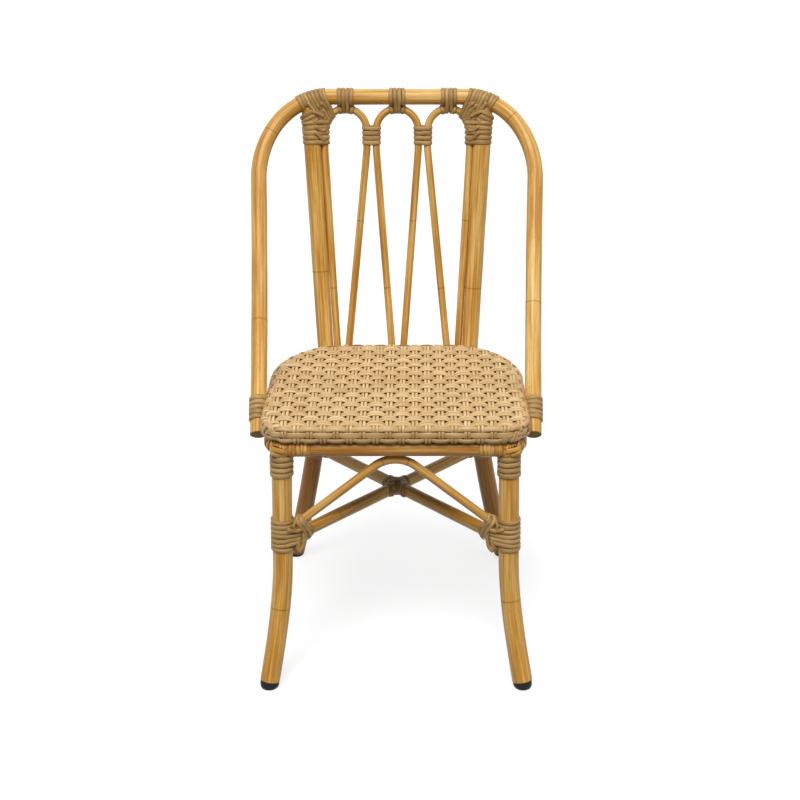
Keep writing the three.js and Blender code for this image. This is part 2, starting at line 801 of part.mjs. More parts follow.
["left", "centre", "right"].forEach((name, i) => {
  const cane = hairpins[i];
  const bend = cane.lengthWhere("z", forkHeight, 0, cane.total / 2);
  addLashing("crest_lash_" + name, crestLash, {
    spine: hoop,
    place: hoop.lengthWhere("x", (i - 1) * hairpinX),
    radius: hoopRadius,
    partner: (point) => cane.at(cane.lengthWhere("x", point.x, bend, cane.total - bend)),
    partnerRadius: caneRadius,
  });
});

// How far from an end of the hoop the middle of its lashing lies
const hoopEndPlace = hoopRadius * 2 + spanOf(hoopEndLash) / 2;

// How far along the hoop a lashing's middle lies from the end of the post, whose side it clears
function besidePost(sign, post, lash, postTop) {
  const lashRadius = hoopRadius + lashBuild(hoopRadius);
  const postTangent = post.at(post.total).tangent;
  let step = postRadius;
  for (let i = 0; i < settlings; i++) {
    const sine = Math.abs(hoop.at(postTop + sign * step).tangent.dot(postTangent));
    const beside = (postRadius + lashRadius * sine) / Math.sqrt(1 - sine * sine);
    step = beside + lashEndGap + spanOf(lash) / 2;
  }
  return sign * step;
}

function addBackLashings(name, sign, i) {
  const postTop = hoop.lengthWhere("x", sign * postTopX);
  const onHoop = { spine: hoop, radius: hoopRadius };
  const outerPlace = postTop + besidePost(sign, rearPoles[i], cornerOuterLash, postTop);
  const innerPlace = postTop + besidePost(-sign, rearPoles[i], cornerInnerLash, postTop);
  const outer = { ...onHoop, side: up, place: outerPlace };
  const inner = { ...onHoop, side: up, place: innerPlace };
  addLashing("corner_lash_outer_" + name, cornerOuterLash, outer);
  addLashing("corner_lash_inner_" + name, cornerInnerLash, inner);
  const outside = hoop.at(hoop.lengthWhere("x", sign * (postTopX + postRadius + lashBuild(postRadius))));
  const hoopBottom = outside.point.z - hoopRadius / Math.hypot(outside.tangent.x, outside.tangent.y);
  addLashing("post_lash_" + name, postLash, {
    spine: rearPoles[i],
    place: rearPoles[i].lengthWhere("z", hoopBottom - postLashGap - spanOf(postLash) / 2),
    radius: postRadius,
    partner: hairpinLeg(hairpins[i * 2], i),
    partnerRadius: caneRadius,
  });
  const cane = hairpins[i];
  addLashing("fork_lash_" + name, forkLash, {
    spine: cane,
    place: cane.lengthWhere("z", crestHeight - forkLashDrop, cane.total / 2, cane.total),
    radius: caneRadius,
    partner: hairpinLeg(hairpins[i + 1], 0),
    partnerRadius: caneRadius,
  });
  const armEnd = sign < 0 ? hoopEndPlace : hoop.total - hoopEndPlace;
  addLashing("hoop_end_lash_" + name, hoopEndLash, { ...onHoop, side: across, place: armEnd });
}

function ringLashPlace(sign) {
  const front = [ring.total * ringFrontShare, ring.total * (1 - ringFrontShare)];
  const offLeg = frontLegRadius + lashBuild(frontLegRadius) + lashEndGap + spanOf(ringLash) / 2;
  return ring.lengthWhere("x", sign * (frontLegX - offLeg), ...front);
}

function addFrontLashings(name, sign, i) {
  const leg = frontLegs[i];
  const onLeg = { spine: leg, radius: frontLegRadius, side: across };
  const topPlace = leg.lengthWhere("z", ringHeight - ringRadius - lashEndGap) - spanOf(legTopLash) / 2;
  addLashing("leg_top_lash_" + name, legTopLash, { ...onLeg, place: topPlace });
  const upperPlace = leg.lengthWhere("z", archHeelHeight + legUpperLashRise) + spanOf(legUpperLash) / 2;
  addLashing("leg_upper_lash_" + name, legUpperLash, { ...onLeg, place: upperPlace });
  const heelMiddle = archHeelHeight - lashEndGap - spanOf(legMidLash) / 2;
  const heelAt = (point) => {
    const from = sign < 0 ? 0 : arch.total - archHeelLength;
    return arch.at(arch.lengthWhere("z", point.z, from, from + archHeelLength));
  };
  addLashing("leg_mid_lash_" + name, legMidLash, {
    spine: leg,
    radius: frontLegRadius,
    place: leg.lengthWhere("z", heelMiddle),
    partner: heelAt,
    partnerRadius: archRadius,
  });
  const onRing = { spine: ring, radius: ringRadius, side: up };
  addLashing("ring_lash_" + name, ringLash, { ...onRing, place: ringLashPlace(sign) });
  const heelBend = (archHeelBend * Math.PI) / 2;
  const archReach = archHeelLength + heelBend + spanOf(archEndLash) / 2;
  const archPlace = sign < 0 ? archReach : arch.total - archReach;
  addLashing("arch_end_lash_" + name, archEndLash, {
    spine: arch,
    radius: archRadius,
    side: up,
    place: archPlace,
  });
}

function addLowLashings(name, i) {
  const offPole = rearLegRadius + lashBuild(rearLegRadius) + lashEndGap;
  const spine = stretchers[i];
  const onStretcher = { spine, radius: stretcherRadius, side: up };
  const frontPlace = pastHeel(spine, heelHulls[i]) + spanOf(stretcherFrontLash) / 2;
  addLashing("stretcher_front_lash_" + name, stretcherFrontLash, { ...onStretcher, place: frontPlace });
  const rearPlace = spine.total - offPole - spanOf(stretcherRearLash) / 2;
  addLashing("stretcher_rear_lash_" + name, stretcherRearLash, { ...onStretcher, place: rearPlace });
  const cross = spine.lengthWhere("x", 0);
  const crossStep = crossLashStart + spanOf(crossLash) / 2;
  addLashing("cross_lash_front_" + name, crossLash, { ...onStretcher, place: cross - crossStep });
  addLashing("cross_lash_rear_" + name, crossLash, { ...onStretcher, place: cross + crossStep });
  addLashing("rear_leg_lash_" + name, rearLegLash, {
    spine: rearPoles[i],
    radius: rearLegRadius,
    side: across,
    place: rearPoles[i].lengthWhere("z", stretcherHeight),
  });
}

sides.forEach(({ name, sign }, i) => {
  addBackLashings(name, sign, i);
  addFrontLashings(name, sign, i);
  addLowLashings(name, i);
});

// The panel, notched round the poles and lashings that press into its edge
function padGeometry() {
  const outline = seatOutline(padEdgeRound);
  const pad = new THREE.ExtrudeGeometry(new THREE.Shape(outline), {
    depth: padThickness - 2 * padEdgeRound - seatGap,
    bevelThickness: padEdgeRound,
    bevelSize: padEdgeRound,
    bevelSegments: 3,
  });
  return pad.translate(0, 0, seatTop - padThickness + padEdgeRound + seatGap);
}

// A lashed stretch of a pole with room at its ends, as a cutter for the panel
function lashedStretch(spine, radius, lash, place) {
  const half = spanOf(lash) / 2 + lash.pitch + lashEndGap;
  const from = Math.max(0, place - half);
  const to = Math.min(spine.total, place + half);
  return clearTube(new Spine([spine.at(from).point, spine.at(to).point]), radius + lashBuild(radius));
}

// Whether a point lies inside a convex outline that runs anticlockwise
function insideOutline(outline, x, y) {
  return outline.every((a, i) => {
    const b = outline[(i + 1) % outline.length];
    return (b.x - a.x) * (y - a.y) - (b.y - a.y) * (x - a.x) >= 0;
  });
}

// One pit on the +X (1) or -X (-1) side of a warp: an upside-down pyramid, its faces in rows of three
function pitFaces(x, y, side) {
  const lowest = pitInner + (pitOuter - pitInner) * pitBottomShare;
  const bottom = new THREE.Vector3(x + side * lowest, y, seatTop - pitDepth);
  const overrun = (pitDepth + seatGap) / pitDepth;
  const plan = [[pitInner, -1], [pitOuter, -1], [pitOuter, 1], [pitInner, 1]];
  const corners = plan.map(([out, end]) => {
    const corner = new THREE.Vector3(x + side * out, y + end * pitHalfLength, seatTop);
    return corner.sub(bottom).multiplyScalar(overrun).add(bottom);
  });
  if (side < 0) corners.reverse();
  const faces = corners.map((corner, k) => [corner, bottom, corners[(k + 1) % corners.length]]);
  const [a, b, c, d] = corners;
  return [...faces, [a, b, c], [a, c, d]].flat();
}

// All the pits that lie wholly in the panel's flat top, as one cutter
function weavePits() {
  const flat = seatOutline(padEdgeRound + seatGap);
  const warps = Math.floor((2 * padHalfWidth) / warpPitch);
  const wefts = Math.floor((padFront + padRear) / weftPitch);
  const points = [];
  for (let i = 0; i < warps; i++) {
    const x = (i - (warps - 1) / 2) * warpPitch;
    for (let k = 1 - (i % 2); k < wefts; k += 2) {
      const y = -padFront + weftFirst + k * weftPitch;
      for (const side of [-1, 1]) {
        const corners = [pitInner, pitOuter].flatMap((out) => {
          return [-pitHalfLength, pitHalfLength].map((end) => [x + side * out, y + end]);
        });
        if (corners.every((corner) => insideOutline(flat, ...corner))) points.push(...pitFaces(x, y, side));
      }
    }
  }
  return new THREE.BufferGeometry().setFromPoints(points);
}

const padTools = [
  weavePits(),
  ...rearPoles.map((pole) => clearTube(pole, postRadius)),
  ...hairpins.map((cane) => clearTube(cane, caneRadius, thinSides)),
  lashedStretch(hoop, hoopRadius, hoopEndLash, hoopEndPlace),
  lashedStretch(hoop, hoopRadius, hoopEndLash, hoop.total - hoopEndPlace),
  ...sides.map(({ sign }) => lashedStretch(ring, ringRadius, ringLash, ringLashPlace(sign))),
];
add("seat_panel", cut(padGeometry(), padTools), weaveColour);

chair.updateMatrixWorld(true);
const box = new THREE.Box3().setFromObject(chair);
chair.position.set(-(box.min.x + box.max.x) / 2, -(box.min.y + box.max.y) / 2, -box.min.z);

export default chair;
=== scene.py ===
import random
from math import acos, atan2, cos, hypot, pi, radians, sin, sqrt, tan

import bpy
import numpy as np
from numpy.linalg import norm
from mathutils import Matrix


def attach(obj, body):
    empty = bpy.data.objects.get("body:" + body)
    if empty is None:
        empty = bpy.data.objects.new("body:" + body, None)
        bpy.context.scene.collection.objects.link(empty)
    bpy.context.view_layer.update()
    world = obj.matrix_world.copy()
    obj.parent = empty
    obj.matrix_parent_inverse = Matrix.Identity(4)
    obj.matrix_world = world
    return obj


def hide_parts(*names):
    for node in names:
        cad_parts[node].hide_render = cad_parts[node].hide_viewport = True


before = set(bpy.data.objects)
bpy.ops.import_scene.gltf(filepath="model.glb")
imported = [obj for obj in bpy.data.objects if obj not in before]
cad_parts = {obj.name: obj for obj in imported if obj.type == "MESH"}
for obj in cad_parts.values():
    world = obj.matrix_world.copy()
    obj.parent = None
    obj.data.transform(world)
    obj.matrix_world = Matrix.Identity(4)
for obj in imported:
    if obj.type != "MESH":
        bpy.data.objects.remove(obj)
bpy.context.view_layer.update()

rng = random.Random(11)

# Lengths are in mm. The frame is centred, so the meshes move back by this much
CENTRE_BACK = -14.774
METRES = 0.001

# Woven seat: half width, front and rear edge, corners (the rear ones as half axes), soft edge
SEAT_TOP = 461
PAD_LOW = 433
PAD_WIDTH = 212
PAD_FRONT = 222
PAD_REAR = 178
FRONT_CORNER = 48
REAR_CORNER = (125, 165)
EDGE_SOFT = 9

# How far the poles press into the seat, and the gap between parts
PRESS = 4
GAP = 0.3

# Ring under the seat
RING_Z = 412.5
RING_LIFT = 3.5
RING_RADIUS = 12.5
RING_INSET = 16.5

# Hoop: crest, half axes of the shoulders, lean of the arms, cut of the ends
HOOP_RADIUS = 13.5
CREST_Z = 886.5
CREST_Y = 248
HOOP_WIDTH = 237.4
SHOULDER = (119.4, 124)
ARM_BACK = -83
ARM_LEAN = radians(46)
HOOP_END_Z = 408
HOOP_CUT = 4.2

# Front legs: knee, flare of the foot outwards and forwards, top
LEG_RADIUS = 16.3
KNEE = (182.5, -202, 232)
FLARE = (27.43, 30.47)
LEG_TOP = (179.5, -199)

# Rear poles: foot, bow of the leg, place at the seat and top of the post
REAR_RADIUS = 16.4
POST_RADIUS = 14.3
POST_SWELL = 1.1
REAR_FOOT = (201, 262)
REAR_BOW = (11.5, 21)
POST_SEAT_X = 128.9
POST_SEAT_Z = (425, 450)
POST_TOP_X = 151
POST_TOP_DROP = 6.75

# Canes of the back: hairpins, and the places of their feet
CANE_RADIUS = 6.4
CANE_FOOT_DROP = 4
HAIRPIN_RADIUS = 36.6
HAIRPIN_X = 89.6
HAIRPIN_ARCH_Z = 829.7
FORK_Z = 797
CENTRE_FEET = (-7.3, 7.3)
SIDE_FEET = (91.9, 105.6)

# Stretchers, arch brace and the cut of the poles above their feet
STRETCHER_RADIUS = 10.5
STRETCHER_Z = 252
HEEL_Z = 275.5
HEEL_LENGTH = 40
HEEL_BEND = 14
ARCH_BEND = 53
ARCH_RADIUS = 7
ARCH_LIFT = 1.2
POLE_CUT_Z = 12.5

# Heights on a leg are looked up above this length
ABOVE_FOOT = 60
SIDES = ((-1, "left"), (1, "right"))
PINS = ((-1, "left"), (0, "centre"), (1, "right"))
X, Z = 0, 2
FAR = 1e9
OUTWARD, UPWARD, FORWARD = (1, 0, 0), (0, 0, 1), (0, -1, 0)


def unit(v):
    return v / norm(v, axis=-1, keepdims=True)


def running_length(points):
    steps = norm(np.diff(points, axis=0), axis=1)
    return np.concatenate([[0], np.cumsum(steps)])


def between(s, lengths, points):
    """Points at lengths along a line."""
    return np.stack([np.interp(s, lengths, column) for column in points.T], axis=-1)


def random_phase():
    return rng.uniform(0, 6.28)


class Path:
    """A smooth line in space, sampled at even steps."""

    def __init__(self, points, step=3):
        points = np.array(points, float)
        gaps = norm(np.diff(points, axis=0), axis=1)
        points = points[np.concatenate([[True], gaps > 1e-6])]
        lengths = np.concatenate([[0], np.cumsum(gaps[gaps > 1e-6])])
        count = max(3, int(lengths[-1] / step) + 1)
        self.s = np.linspace(0, lengths[-1], count)
        self.points = between(self.s, lengths, points)
        self.tangents = unit(np.gradient(self.points, axis=0))
        self.total = lengths[-1]

    def sampled(self, s):
        return between(s, self.s, self.points), between(s, self.s, self.tangents)

    def at(self, s):
        point, tangent = self.sampled(s)
        return point, unit(tangent)

    def where(self, axis, value, low=0, high=None):
        """Length at which a coordinate has a value, found by halving."""
        high = self.total if high is None else high
        rises = self.at(high)[0][axis] > self.at(low)[0][axis]
        for _ in range(40):
            middle = (low + high) / 2
            if (self.at(middle)[0][axis] < value) == rises:
                low = middle
            else:
                high = middle
        return (low + high) / 2

    def height(self, z):
        """Length at which a leg has a height."""
        return self.where(Z, z, ABOVE_FOOT)

    def half(self, sign):
        """Lengths of the half on one side."""
        return (0, self.total / 2) if sign < 0 else (self.total / 2, self.total)

    def end(self, sign, near, far):
        """Two lengths, counted from the end on one side."""
        return (near, far) if sign < 0 else (self.total - far, self.total - near)


def placed(name, data):
    obj = bpy.data.objects.new(name, data)
    bpy.context.scene.collection.objects.link(obj)
    return obj


class Shell:
    """Collects the faces of one piece."""

    def __init__(self):
        self.verts = []
        self.faces = []
        self.grain = []
        self.tone = []
        self.count = 0

    def rows(self, rows, grain, tone, closed=False):
        """Joins rings of points, anticlockwise seen against the run."""
        n, m, _ = rows.shape
        base = self.count
        self.verts.append(rows.reshape(-1, 3))
        self.grain.append(grain.reshape(-1, 3))
        self.tone.append(np.broadcast_to(np.asarray(tone, float), (n, m)).reshape(-1))
        self.count += n * m
        for i in range(n if closed else n - 1):
            a = base + i * m
            b = base + ((i + 1) % n) * m
            for k in range(m):
                q = (k + 1) % m
                self.faces.append((a + k, a + q, b + q, b + k))
        if not closed:
            self.faces.append(tuple(base + m - 1 - k for k in range(m)))
            end = base + (n - 1) * m
            self.faces.append(tuple(end + k for k in range(m)))

    def piece(self, name, slot, material, *nodes):
        """Makes the mesh, for the nodes that it replaces."""
        mesh = bpy.data.meshes.new(name)
        verts = (np.concatenate(self.verts) + [0, CENTRE_BACK, 0]) * METRES
        mesh.from_pydata(verts.tolist(), [], self.faces)
        grain = mesh.attributes.new("grain", "FLOAT_VECTOR", "POINT")
        places = (np.concatenate(self.grain) * METRES).astype(np.float32)
        grain.data.foreach_set("vector", places.ravel())
        tone = mesh.attributes.new("tone", "FLOAT", "POINT")
        tone.data.foreach_set("value", np.concatenate(self.tone).astype(np.float32))
        mesh.polygons.foreach_set("use_smooth", [len(face) == 4 for face in self.faces])
        mesh.materials.append(material)
        mesh.update()
        obj = placed(name, mesh)
        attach(obj, "root")
        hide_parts(*nodes)


# A tone above 1 marks a cut end
CUT = 3
# First direction of a pole's rows, and where samples are added beside a node
POLE_FRONT = (0, -1, 0.2)
NODE_SAMPLES = (-3, -1.5, -0.7, 0, 0.7, 1.5, 3)


def add_tube(shell, path, radius, sides=32, marks=(), round_ends=1.2, low=0, high=None, tone=0):
    """A pole with faint nodes at the marks. The radius may differ from sample to sample."""
    high = path.total if high is None else high
    margin = round_ends * 1.5
    extra = [m + d for m in marks for d in NODE_SAMPLES]
    ends = [low + round_ends * k for k in (0, 0.3, 1)] + [high - round_ends * k for k in (1, 0.3, 0)]
    inside = [s for s in list(path.s) + extra if low + margin < s < high - margin]
    s = np.array(sorted(inside + ends))
    points, tangents = path.sampled(s)
    tangents = unit(tangents)
    normals = [POLE_FRONT]
    for tangent in tangents:
        normals.append(unit(normals[-1] - np.dot(normals[-1], tangent) * tangent))
    normals = np.array(normals[1:])
    binormals = np.cross(tangents, normals)
    r = np.interp(s, path.s, radius + 0 * path.s)
    mean = r.mean()
    phase = [random_phase() for _ in range(3)]
    r = r * (1 + 0.006 * np.sin(s / 41 + phase[0]) + 0.005 * np.sin(s / 17.3 + phase[1]))
    mark = np.zeros(len(s))
    for m in marks:
        mark += np.exp(-(((s - m) / 1.1) ** 2))
    r = r * (1 + 0.007 * mark)
    edge = np.minimum(np.minimum((s - low), (high - s)) / round_ends, 1)
    r = r - round_ends * (1 - np.sqrt(np.maximum(0, 1 - (1 - edge) ** 2)))
    angle = np.arange(sides) * 2 * pi / sides
    wobble = 1 + 0.008 * np.sin(2 * angle + phase[2])
    cosine, sine = np.cos(angle)[None], np.sin(angle)[None]
    spread = normals[:, None] * cosine[..., None] + binormals[:, None] * sine[..., None]
    rows = points[:, None] + spread * (r[:, None] * wobble[None])[:, :, None]
    grain = np.empty_like(rows)
    grain[..., 0] = cosine * mean
    grain[..., 1] = sine * mean
    grain[..., 2] = s[:, None] + rng.uniform(0, 4000)
    mark = np.clip(mark + (tone(points[:, 2]) if callable(tone) else tone), 0, 1)
    mark[[0, -1]] = CUT
    shell.rows(rows, grain, mark[:, None])


# Section of a strand: place across it, height, and the darker tone of its edges, which is painted shade in
# the grooves between strands
STRAND_U = np.array([-1, -0.94, -0.6, 0, 0.6, 0.94, 1, 0.9, -0.9])
STRAND_H = np.array([0, 0.42, 0.86, 1, 0.86, 0.42, 0, -0.3, -0.3])
STRAND_EDGE_SHADE = np.array([1, 0.9, 0.2, 0, 0.2, 0.9, 1, 1, 1])


def add_strand(shell, centres, normals, width, thick, closed=False, tone=None):
    """A flat domed strand on a line of points with outward normals."""
    if closed:
        tangents = np.roll(centres, -1, axis=0) - np.roll(centres, 1, axis=0)
    else:
        tangents = np.gradient(centres, axis=0)
    normals = unit(normals)
    across = unit(np.cross(unit(tangents), normals))
    width = np.broadcast_to(np.asarray(width, float), (len(centres),))
    rows = (
        centres[:, None]
        + across[:, None] * (STRAND_U[None, :, None] * width[:, None, None] / 2)
        + normals[:, None] * (STRAND_H[None, :, None] * thick)
    )
    grain = np.empty_like(rows)
    grain[..., 0] = STRAND_U[None] * width[:, None] / 2
    grain[..., 1] = rng.uniform(0, 2000)
    grain[..., 2] = running_length(centres)[:, None]
    tone = rng.uniform(0, 0.6) if tone is None else tone
    # The strand's edges take a darker tone: painted shade between strands
    shell.rows(rows, grain, np.maximum(tone, STRAND_EDGE_SHADE), closed=closed)


def crossing(path, origin, normal, low=0, high=FAR):
    """Where a path goes through a plane, nearest to the origin."""
    d = (path.points - origin) @ normal
    flips = [i for i in np.nonzero(d[:-1] * d[1:] <= 0)[0] if low <= path.s[i] <= high]
    if not flips:
        return None
    i = min(flips, key=lambda k: norm(path.points[k] - origin))
    share = d[i] / (d[i] - d[i + 1]) if d[i] != d[i + 1] else 0
    return path.points[i] * (1 - share) + path.points[i + 1] * share, path.tangents[i]


# Directions in which a loop's support is measured, and points of a loop
PHI = np.arange(120) * 2 * pi / 120
THETA = np.arange(64) * 2 * pi / 64
# Longest stretch of an oblique cut, and the least share that bounds a loop
MOST_STRETCH = 4
LEAST_FACING = 0.15


def add_loop(shell, poles, origin, normal, width, thick=2.5, lift=0, ref=FORWARD):
    """One strand round the outline of the poles that a plane cuts."""
    normal = unit(normal)
    ref = np.array(ref, float)
    e1 = unit(ref - ref.dot(normal) * normal)
    e2 = np.cross(normal, e1)
    cuts = []
    for path, radius, *span in poles:
        hit = crossing(path, origin, normal, *span)
        if hit is not None:
            cuts.append((*hit, radius))
    weights = np.array([r for _, _, r in cuts])
    centre = (np.array([p for p, _, _ in cuts]) * weights[:, None]).sum(0) / weights.sum()
    mean_axis = np.zeros(3)
    support = np.full(len(PHI), -FAR)
    u1, u2 = np.cos(PHI), np.sin(PHI)
    for point, axis, radius in cuts:
        axis = axis * (1 if axis.dot(normal) > 0 else -1)
        mean_axis += axis * radius
        c1, c2 = (point - centre).dot(e1), (point - centre).dot(e2)
        along = np.array([axis.dot(e1), axis.dot(e2)])
        stretch = min(MOST_STRETCH, 1 / max(1e-3, abs(axis.dot(normal))))
        size = norm(along)
        d1, d2 = along / size if size > 1e-6 else (1, 0)
        part = (stretch * radius * (u1 * d1 + u2 * d2)) ** 2 + (radius * (u2 * d1 - u1 * d2)) ** 2
        support = np.maximum(support, c1 * u1 + c2 * u2 + np.sqrt(part))
    mean_axis = unit(mean_axis)
    facing = np.cos(THETA[:, None] - PHI[None])
    bounds = np.where(facing > LEAST_FACING, support[None] / np.maximum(facing, LEAST_FACING), FAR)
    reach = bounds.min(1) + lift
    way = e1 * np.cos(THETA)[:, None] + e2 * np.sin(THETA)[:, None]
    points = centre + reach[:, None] * way
    outward = np.cross(np.roll(points, -1, axis=0) - np.roll(points, 1, axis=0), normal)
    outward = outward * np.sign((outward * (points - centre)).sum(1))[:, None]
    outward = outward - (outward @ mean_axis)[:, None] * mean_axis
    swings = rng.randint(1, 3)
    widths = width * (1 + 0.05 * np.sin(THETA * swings + random_phase()))
    points = points + mean_axis * (0.35 * np.sin(THETA * 2 + random_phase()))[:, None]
    add_strand(shell, points, outward, widths, thick, closed=True)


def tilted(axis, towards, degrees):
    """An axis turned towards another direction."""
    axis = unit(np.array(axis, float))
    side = np.array(towards, float)
    side = unit(side - side.dot(axis) * axis)
    return axis * cos(radians(degrees)) + side * sin(radians(degrees))


def add_wrap(shell, poles, path, span, count, width, thick=2.5, lean=0, towards=FORWARD):
    """Loops side by side along a span of a path, each a little off true."""
    low, high = span
    for k in range(count):
        point, tangent = path.at(low + (high - low) * ((k + 0.5) / count))
        normal = tilted(tangent, towards, lean + rng.uniform(-1.4, 1.4))
        size = width * rng.uniform(0.95, 1.05)
        add_loop(shell, poles, point, normal, size, thick * rng.uniform(0.93, 1.07))


def front_of(tubes, x, z):
    """Foremost place of the tubes behind each point (x, z), and the way out of them."""
    best_y = np.full(len(x), FAR)
    way = np.zeros((len(x), 3))
    rows = np.arange(len(x))
    for path, radius in tubes:
        offset = np.stack([x, z], axis=1)[:, None] - path.points[None][..., [0, 2]]
        gap = norm(offset, axis=2)
        near = gap.argmin(1)
        d = gap[rows, near]
        tangent = path.tangents[near]
        lean = np.maximum(0.3, np.hypot(tangent[:, 0], tangent[:, 2]))
        depth = np.sqrt(np.maximum(0, radius**2 - d**2)) / lean
        y = path.points[near, 1] - depth + 0.8 * np.maximum(0, d - radius)
        side = np.column_stack([offset[rows, near, 0], -depth, offset[rows, near, 1]])
        better = y < best_y
        best_y = np.where(better, y, best_y)
        way = np.where(better[:, None], side, way)
    return best_y, unit(way)


# A draped strand's sample step, and the share of it that sinks in at each end
DRAPE_STEP = 1.2
DRAPE_SINK = 0.14


def add_draped(shell, tubes, spots, width, thick=2.6, lift=0):
    """A strand over the front of the tubes through spots (x, z), taut over the hollows."""
    spots = np.array(spots, float)
    lengths = running_length(spots)
    count = max(16, int(lengths[-1] / DRAPE_STEP))
    at = np.linspace(0, lengths[-1], count)
    plan = between(at, lengths, spots)
    for _ in range(6):
        plan[1:-1] = (plan[:-2] + plan[1:-1] * 2 + plan[2:]) / 4
    y, way = front_of(tubes, plan[:, 0], plan[:, 1])
    for _ in range(300):
        y[1:-1] = np.minimum(y[1:-1], (y[:-2] + y[2:]) / 2)
    for _ in range(3):
        y[1:-1] = (y[:-2] + y[1:-1] * 2 + y[2:]) / 4
        way[1:-1] = (way[:-2] + way[1:-1] + way[2:]) / 3
    normals = unit(unit(way) + np.array([0, -0.8, 0.2]))
    share = np.linspace(0, 1, count)
    edge = np.clip(np.minimum(share, 1 - share) / DRAPE_SINK, 0, 1)
    height = lift - (lift + thick) * (1 - edge) ** 2
    points = np.column_stack([plan[:, 0], y, plan[:, 1]]) + normals * height[:, None]
    add_strand(shell, points, normals, width * (0.82 + 0.18 * edge), thick)


# Spines
def hoop_back(z):
    """How far back the hoop lies: leaning arms that curl upright at the crest."""
    rise = CREST_Z - SEAT_TOP
    curl = (ARM_BACK + rise * tan(ARM_LEAN) - CREST_Y) / rise**2
    h = z - SEAT_TOP
    return ARM_BACK + h * tan(ARM_LEAN) - curl * h * h


def hoop_path():
    end_x = PAD_WIDTH - PRESS + GAP + HOOP_RADIUS
    shoulder_z = CREST_Z - SHOULDER[1]
    half = []
    for share in np.linspace(0, 1, 60, endpoint=False):
        x = end_x + (HOOP_WIDTH - end_x) * share
        half.append((x, HOOP_END_Z + (shoulder_z - HOOP_END_Z) * share))
    for angle in np.linspace(0, pi / 2, 60):
        x = HOOP_WIDTH - SHOULDER[0] * (1 - cos(angle))
        half.append((x, shoulder_z + SHOULDER[1] * sin(angle)))
    left = [(-x, hoop_back(z), z) for x, z in half]
    right = [(x, hoop_back(z), z) for x, z in reversed(half)]
    return Path(left + right)


def behind_ring(x, radius):
    """How far back a pole stands that touches the seat's rear edge."""
    out = radius + 2 * GAP - PRESS
    share = max(0, abs(x) - PAD_WIDTH + REAR_CORNER[0]) / (REAR_CORNER[0] + out)
    return PAD_REAR - REAR_CORNER[1] + (REAR_CORNER[1] + out) * sqrt(1 - share * share)


def rear_path(sign):
    seat_y = behind_ring(POST_SEAT_X, POST_RADIUS)
    place = hoop.where(X, sign * POST_TOP_X, *hoop.half(sign))
    top = hoop.at(place)[0] - [0, 0, POST_TOP_DROP]
    foot_x, foot_y = REAR_FOOT
    points = []
    for share in np.linspace(-1 / 7, 0.97, 60):
        bow = 4 * share * (1 - share)
        x = foot_x + (POST_SEAT_X - foot_x) * share - REAR_BOW[0] * bow / 2
        y = foot_y + (seat_y - foot_y) * share - REAR_BOW[1] * bow / 2
        points.append((sign * x, y, POST_SEAT_Z[0] * share))
    seat = np.array([sign * POST_SEAT_X, seat_y + GAP, POST_SEAT_Z[1]])
    points.extend(seat + (top - seat) * share for share in np.linspace(0, 1, 30))
    return Path(points)


def front_path(sign):
    knee_x, knee_y, knee_z = KNEE
    points = []
    for share in np.linspace(1 + 1 / 8, 0, 50):
        out = share * share * (3 - share) / 2
        x, y = knee_x + FLARE[0] * out, knee_y - FLARE[1] * out
        points.append((sign * x, y, knee_z * (1 - share)))
    points.append((sign * LEG_TOP[0], LEG_TOP[1], RING_Z))
    return Path(points)


def hairpin_path(middle, left, right):
    top_z = HAIRPIN_ARCH_Z + HAIRPIN_RADIUS
    foot_z = RING_Z - CANE_FOOT_DROP

    def station(x, z):
        foot = behind_ring(x, CANE_RADIUS)
        return (x, foot + (CREST_Y - foot) * (z - RING_Z) / (top_z - RING_Z), z)

    def leg(foot_x, top_x, shares):
        return [station(foot_x + (top_x - foot_x) * k, foot_z + (FORK_Z - foot_z) * k) for k in shares]

    points = leg(left, middle - HAIRPIN_RADIUS, np.linspace(0, 1, 30))
    for angle in np.linspace(pi, 0, 40):
        x = middle + HAIRPIN_RADIUS * cos(angle)
        points.append(station(x, HAIRPIN_ARCH_Z + HAIRPIN_RADIUS * sin(angle)))
    points += leg(right, middle + HAIRPIN_RADIUS, np.linspace(1, 0, 30))
    return Path(points, step=2.5)


def stretcher_path(sign):
    """From a front leg to the rear pole of the other side."""
    ends = (fronts[sign], rears[-sign])
    return Path([pole.at(pole.height(STRETCHER_Z))[0] for pole in ends])


def arch_path(leg):
    """The right half as (x, z) from the top down to the heel, then mirrored."""
    beside = leg.at(leg.height(HEEL_Z))[0][0] - LEG_RADIUS - GAP - ARCH_RADIUS
    top_z = RING_Z + ARCH_LIFT - RING_RADIUS - ARCH_RADIUS
    heel_x = beside - HEEL_BEND
    fall = top_z - ARCH_BEND - HEEL_Z
    slope = atan2(heel_x, -fall) - acos((ARCH_BEND - HEEL_BEND) / hypot(heel_x, fall))
    half = []
    for angle in np.linspace(0, slope, 16):
        half.append((ARCH_BEND * sin(angle), top_z - ARCH_BEND * (1 - cos(angle))))
    for angle in np.linspace(slope, pi / 2, 12):
        half.append((heel_x + HEEL_BEND * sin(angle), HEEL_Z + HEEL_BEND * cos(angle)))
    half.append((beside, HEEL_Z - HEEL_LENGTH))
    right = [(x, LEG_TOP[1], z) for x, z in half]
    left = [(-x, LEG_TOP[1], z) for x, z in half[1:]]
    return Path(left[::-1] + right, step=2.5)


